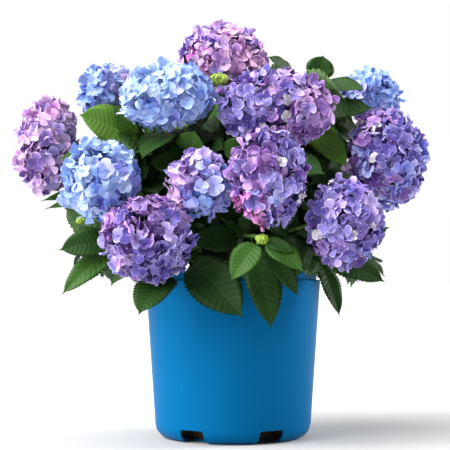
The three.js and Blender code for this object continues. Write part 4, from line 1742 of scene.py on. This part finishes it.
@dataclass
class Crown:
    """Everything that grows from the canes: stems, leaves, flower heads and green heads."""

    pot: NurseryPot
    stem_foot: float = 2.6
    stem_tip: float = 1.8
    stem_rings: int = 26
    stem_ribs: int = 5
    rib: float = 0.07
    joint: float = 0.22  # how much thicker a stem is at a joint
    splay: float = 0.9
    sway: float = 0.35  # how long a stem keeps its way at both ends, against its length
    stem_gap: float = 6.7  # from the middle of a cane's tip to a stem's foot in the solids
    floret_spacing: float = 27.5  # of the solids' heads, whose draws come before their leaves'
    head_room: float = 1.0  # how much of a head's size leaves stay out of
    screen: float = 0.95  # how much of its width they leave free before it
    pot_room: float = 8.0
    lowest: float = 206
    highest: float = 585
    midrib: Shares = (0.45, 0.65, 0.85, 1.0)  # places along a leaf that stand for it
    widest_at: float = 0.44  # the place along a leaf where its margins are furthest apart
    margin_lift: float = 0.16
    painted_shade_height: float = 295  # the height below which leaves take one step more of painted shade
    outside: float = 230  # the reach of the crown's outside
    brighter: float = 2.4  # how many steps the outside's greens are brighter than the heart's: painted light outside, painted shade inside
    heart_painted_shade: float = 0.7  # painted shade: how many steps the heart's greens are below the darkest
    mottle: float = 0.6  # how unlike each other the greens are
    green_at: float = 0.6  # the place along a leaf that its green is chosen by
    leaf_seed: int = 9000
    finer_seed: int = 700
    head_seed: int = 1000
    draw_seed: int = 101
    rng: np.random.Generator = field(default_factory=partial(np.random.default_rng, 42))
    stems: Stock = field(default_factory=Stock)
    leaves: dict[str, Stock] = field(default_factory=lambda: {name: Stock() for name in CANES})
    taken: list[np.ndarray] = field(default_factory=list)

    def _stem(self, cane: str, end: np.ndarray) -> Curve:
        """A shoot's line: out of its cane's tip, splayed from its neighbours, then outwards.

        Args:
            cane: The cane's name.
            end: Where the shoot ends.

        Returns:
            The line.
        """
        tip = place(*CANES[cane])
        ends = [head.centre for head in MOPHEADS.values() if head.cane == cane]
        ends += [place(*shoot.tip) for shoot in LEAFY.values() if shoot.cane == cane]
        mean = np.mean([unit(other - tip) for other in ends], axis=0)
        away = unit(unit(end - tip) * (1 + self.splay) - mean * self.splay)
        foot = tip + away * self.stem_gap
        sway = self.sway * np.linalg.norm(end - tip)
        return Curve(np.array((foot, foot + away * sway, end - unit(end - HEART) * sway, end)))

    def _add_stem(self, cane: str, line: Curve) -> None:
        """Adds a ribbed green stem, from inside its cane's tip to its end.

        Args:
            cane: The cane's name.
            line: The stem's line.
        """
        share = np.linspace(0, 1, self.stem_rings)
        path = np.concatenate((place(*CANES[cane])[None], line.point(line.even(share))))
        radius = np.concatenate(([self.stem_foot], part_way(self.stem_foot, self.stem_tip, share)))
        radius *= 1 + self.joint * (np.arange(len(radius)) % 5 == 0)
        ribs = 1 + self.rib * np.cos(self.stem_ribs * around(2 * self.stem_ribs))
        self.stems.add_tube(path, radius[:, None] * ribs, self.stems.number(STEM_GREEN))

    def _samples(self, leaf: Leaf) -> np.ndarray:
        """The points that stand for a leaf when its room is tested.

        Args:
            leaf: The leaf.

        Returns:
            Some along its midrib, and one on each margin.
        """
        middle = leaf.line.point(np.array(self.midrib))
        centre, tangent = leaf.line.point(self.widest_at), leaf.line.tangent(self.widest_at)
        side = unit(np.cross(leaf.facing, tangent))
        lift = np.cross(tangent, side) * self.margin_lift * leaf.half
        return np.array([*middle, centre + side * leaf.half + lift, centre - side * leaf.half + lift])

    def _has_room(self, leaf: Leaf, rule: LeafRule) -> bool:
        """True if a leaf keeps to the crown's space, clear of heads, pot and other leaves.

        Args:
            leaf: The leaf.
            rule: The rule that it grew by.

        Returns:
            True if it can grow there.
        """
        points = self._samples(leaf)
        reach, height = np.hypot(points[:, 0], points[:, 1]), points[:, 2]
        in_pot = height < self.pot.height + self.pot_room
        in_pot &= reach < self.pot.shoulder_radius + self.pot_room
        inside = (height > self.lowest) & (height < self.highest) & (reach < rule.widest)
        inside &= points[:, 1] > rule.frontmost
        if in_pot.any() or not inside.all():
            return False
        if any(head.crowded(points, self.head_room, self.screen) for head in MOPHEADS.values()):
            return False
        gaps = np.linalg.norm(points[:, None] - np.concatenate(self.taken)[None], axis=2)
        return float(gaps.min()) > rule.room

    def _grow(self, cane: str, leaf: Leaf, green: Green, blade: Blade) -> None:
        """Adds a leaf to its cane's foliage, and takes up its room.

        Args:
            cane: The cane's name.
            leaf: The leaf.
            green: Its colours.
            blade: How it is shaped.
        """
        rng = np.random.default_rng(self.leaf_seed + len(self.taken))
        blade.add(self.leaves[cane], leaf, green, rng)
        self.taken.append(self._samples(leaf))

    def _green_for(self, leaf: Leaf) -> Green:
        """A leaf's colours: darker inside the crown, brighter on its outside.

        Args:
            leaf: The leaf.

        Returns:
            The colours.
        """
        middle = leaf.line.point(self.green_at)
        out = np.linalg.norm((middle - HEART) / (1, 1, 0.9)) / self.outside
        # Painted light towards the crown's outside, painted shade in its heart, with a random mottle.
        level = self.brighter * out + self.rng.normal(scale=self.mottle) - self.heart_painted_shade
        # Leaves low down take one step of painted shade.
        level -= middle[2] < self.painted_shade_height
        return (DARK, DEEP, MIDDLE, BRIGHT)[int(np.clip(round(level), 0, 3))]

    def build(self) -> None:
        """Makes the stems, every leaf and the heads."""
        shoots = []
        for seed, shoot in enumerate(LEAFY.values()):
            line = self._stem(shoot.cane, place(*shoot.tip))
            shoots.append((shoot.cane, line, shoot.green_head, Chances(seed)))
            for show_leaf in shoot.leaves:
                foot = line.point(line.even(show_leaf.share))
                tip, facing = place(*show_leaf.tip), looking(*show_leaf.looks)
                leaf = leaf_between(foot, tip, show_leaf.half, facing)
                self._grow(shoot.cane, leaf, show_leaf.green, FINE_BLADE)
        for seed, head in enumerate(MOPHEADS.values()):
            chance = Chances(self.draw_seed + seed)
            for _ in range(1 + head.florets(self.floret_spacing)):
                chance()
            shoots.append((head.cane, self._stem(head.cane, head.centre), min(head.half), chance))
        self._grow_by_rule(shoots)
        self.stems.piece("stems_green", "foliage", [])
        for cane, stock in self.leaves.items():
            nodes = [f"leafy_shoot_{name}" for name, shoot in LEAFY.items() if shoot.cane == cane]
            stock.piece(f"leaves_{cane}", "foliage", nodes)
        log.info("%d leaves", len(self.taken))
        self._build_heads()

    def _grow_by_rule(self, shoots: list[tuple[str, Curve, float, Chances]]) -> None:
        """Grows every stem, and each leaf pair that has room: by the solids' rule, then by the finer.

        Args:
            shoots: Each shoot's cane, line, head's depth and source of draws.
        """
        tries = []
        for cane, line, depth, chance in shoots:
            self._add_stem(cane, line)
            tries.append((LEAF_RULE, cane, line, depth, chance))
        for i, (cane, line, depth, _) in enumerate(shoots):
            tries.append((FINER_RULE, cane, line, depth, Chances(self.finer_seed + i)))
        for rule, cane, line, depth, chance in tries:
            for sizes in rule.pairs(line, depth, chance):
                leaf = next((grown for grown in sizes if self._has_room(grown, rule)), None)
                if leaf:
                    self._grow(cane, leaf, self._green_for(leaf), RULE_BLADE)

    def _build_heads(self) -> None:
        """Makes every flower head, and the green heads that have not opened."""
        for seed, (name, head) in enumerate(MOPHEADS.items()):
            HeadBuilder(head, np.random.default_rng(self.head_seed + seed)).build(name)
        buds = Stock()
        for i, shoot in enumerate(LEAFY.values()):
            if shoot.green_head:
                GreenHead().add(buds, place(*shoot.tip), shoot.green_head, i)
        buds.piece("green_heads", "foliage", [])


# ---------------------------------------------------------------- studio


@dataclass(frozen=True)
class Studio:
    """The pale floor, the soft light and the camera."""

    camera_at: Place = (-11.2, -1700, 217)
    pitch: float = 2.6  # degrees above the level
    lens: float = 96.7
    floor_radius: float = 30000
    floor_height: float = -0.3
    floor_sides: int = 64
    floor_colour: str = "bcbcbc"
    front_dim: float = 0.06  # how bright the surroundings are in front of the plant
    backlight: float = 1.0  # and behind it
    change: Pair = (-0.4, 0.7)  # from how far forward to how far back one turns into the other
    lights: tuple[tuple[str, float, float, float, float], ...] = (
        ("key_light", 206, 34, 6.1, 58),
        ("fill_light", 12, 28, 3.2, 24),
        ("top_light", 200, 72, 2.0, 40),
    )  # the heading and the rise of where each stands, its strength, and how wide it looks in degrees

    def build(self) -> None:
        """Makes the floor, the lights, the world and the camera."""
        self._build_floor()
        for name, heading, rise, strength, width in self.lights:
            light = bpy.data.lights.new(name, "SUN")
            light.energy = strength
            light.angle = math.radians(width)
            show(name, light).rotation_euler = (0, math.radians(90 - rise), math.radians(heading))
        self._build_world()
        self._build_camera()

    def _build_floor(self) -> None:
        """Makes a round, plain floor just under the pot."""
        rim = np.array([looking(math.degrees(a), 0) for a in around(self.floor_sides)]) * self.floor_radius
        rim[:, 2] = self.floor_height
        mesh = bpy.data.meshes.new("floor")
        mesh.from_pydata((rim * MM).tolist(), [], [list(range(self.floor_sides))])
        mesh.materials.append(Finish("floor_paint", self.floor_colour, 40, (0.85, 0.95), 0.02).material())
        show("floor", mesh)

    def _build_world(self) -> None:
        """Makes the pale surroundings, brighter behind the plant than in front of it."""
        world = bpy.data.worlds.new("studio")
        world.use_nodes = True
        nodes = world.node_tree.nodes
        where = nodes.new("ShaderNodeTexCoord").outputs["Generated"]
        depth = settle(nodes.new("ShaderNodeSeparateXYZ"), {"Vector": where}).outputs["Y"]
        forward, back = self.change
        limits = {"To Min": self.front_dim, "To Max": self.backlight}
        change = {"Value": depth, "From Min": forward, "From Max": back, **limits}
        bright = settle(nodes.new("ShaderNodeMapRange"), change).outputs["Result"]
        settle(nodes["Background"], {"Color": (1, 1, 1, 1), "Strength": bright})
        bpy.context.scene.world = world
        bpy.context.scene.view_settings.view_transform = "Standard"

    def _build_camera(self) -> None:
        """Places the camera in front of the plant, a little above the pot's middle."""
        camera = bpy.data.cameras.new("camera")
        camera.lens = self.lens
        camera.sensor_width = 36
        camera.clip_end = 100
        holder = show("camera", camera)
        holder.location = [part * MM for part in self.camera_at]
        holder.rotation_euler = (math.radians(90 + self.pitch), 0, 0)
        bpy.context.scene.camera = holder


def main() -> None:
    """Loads the frame, then builds the studio and every piece round the frame."""
    logging.basicConfig(level=logging.INFO, format="%(message)s")
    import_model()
    Studio().build()
    pot = NurseryPot()
    pot.build()
    soil = PottingMix(pot)
    soil.build()
    WoodyBase(soil.top + soil.gap).build()
    Crown(pot).build()


if __name__ == "__main__":
    main()
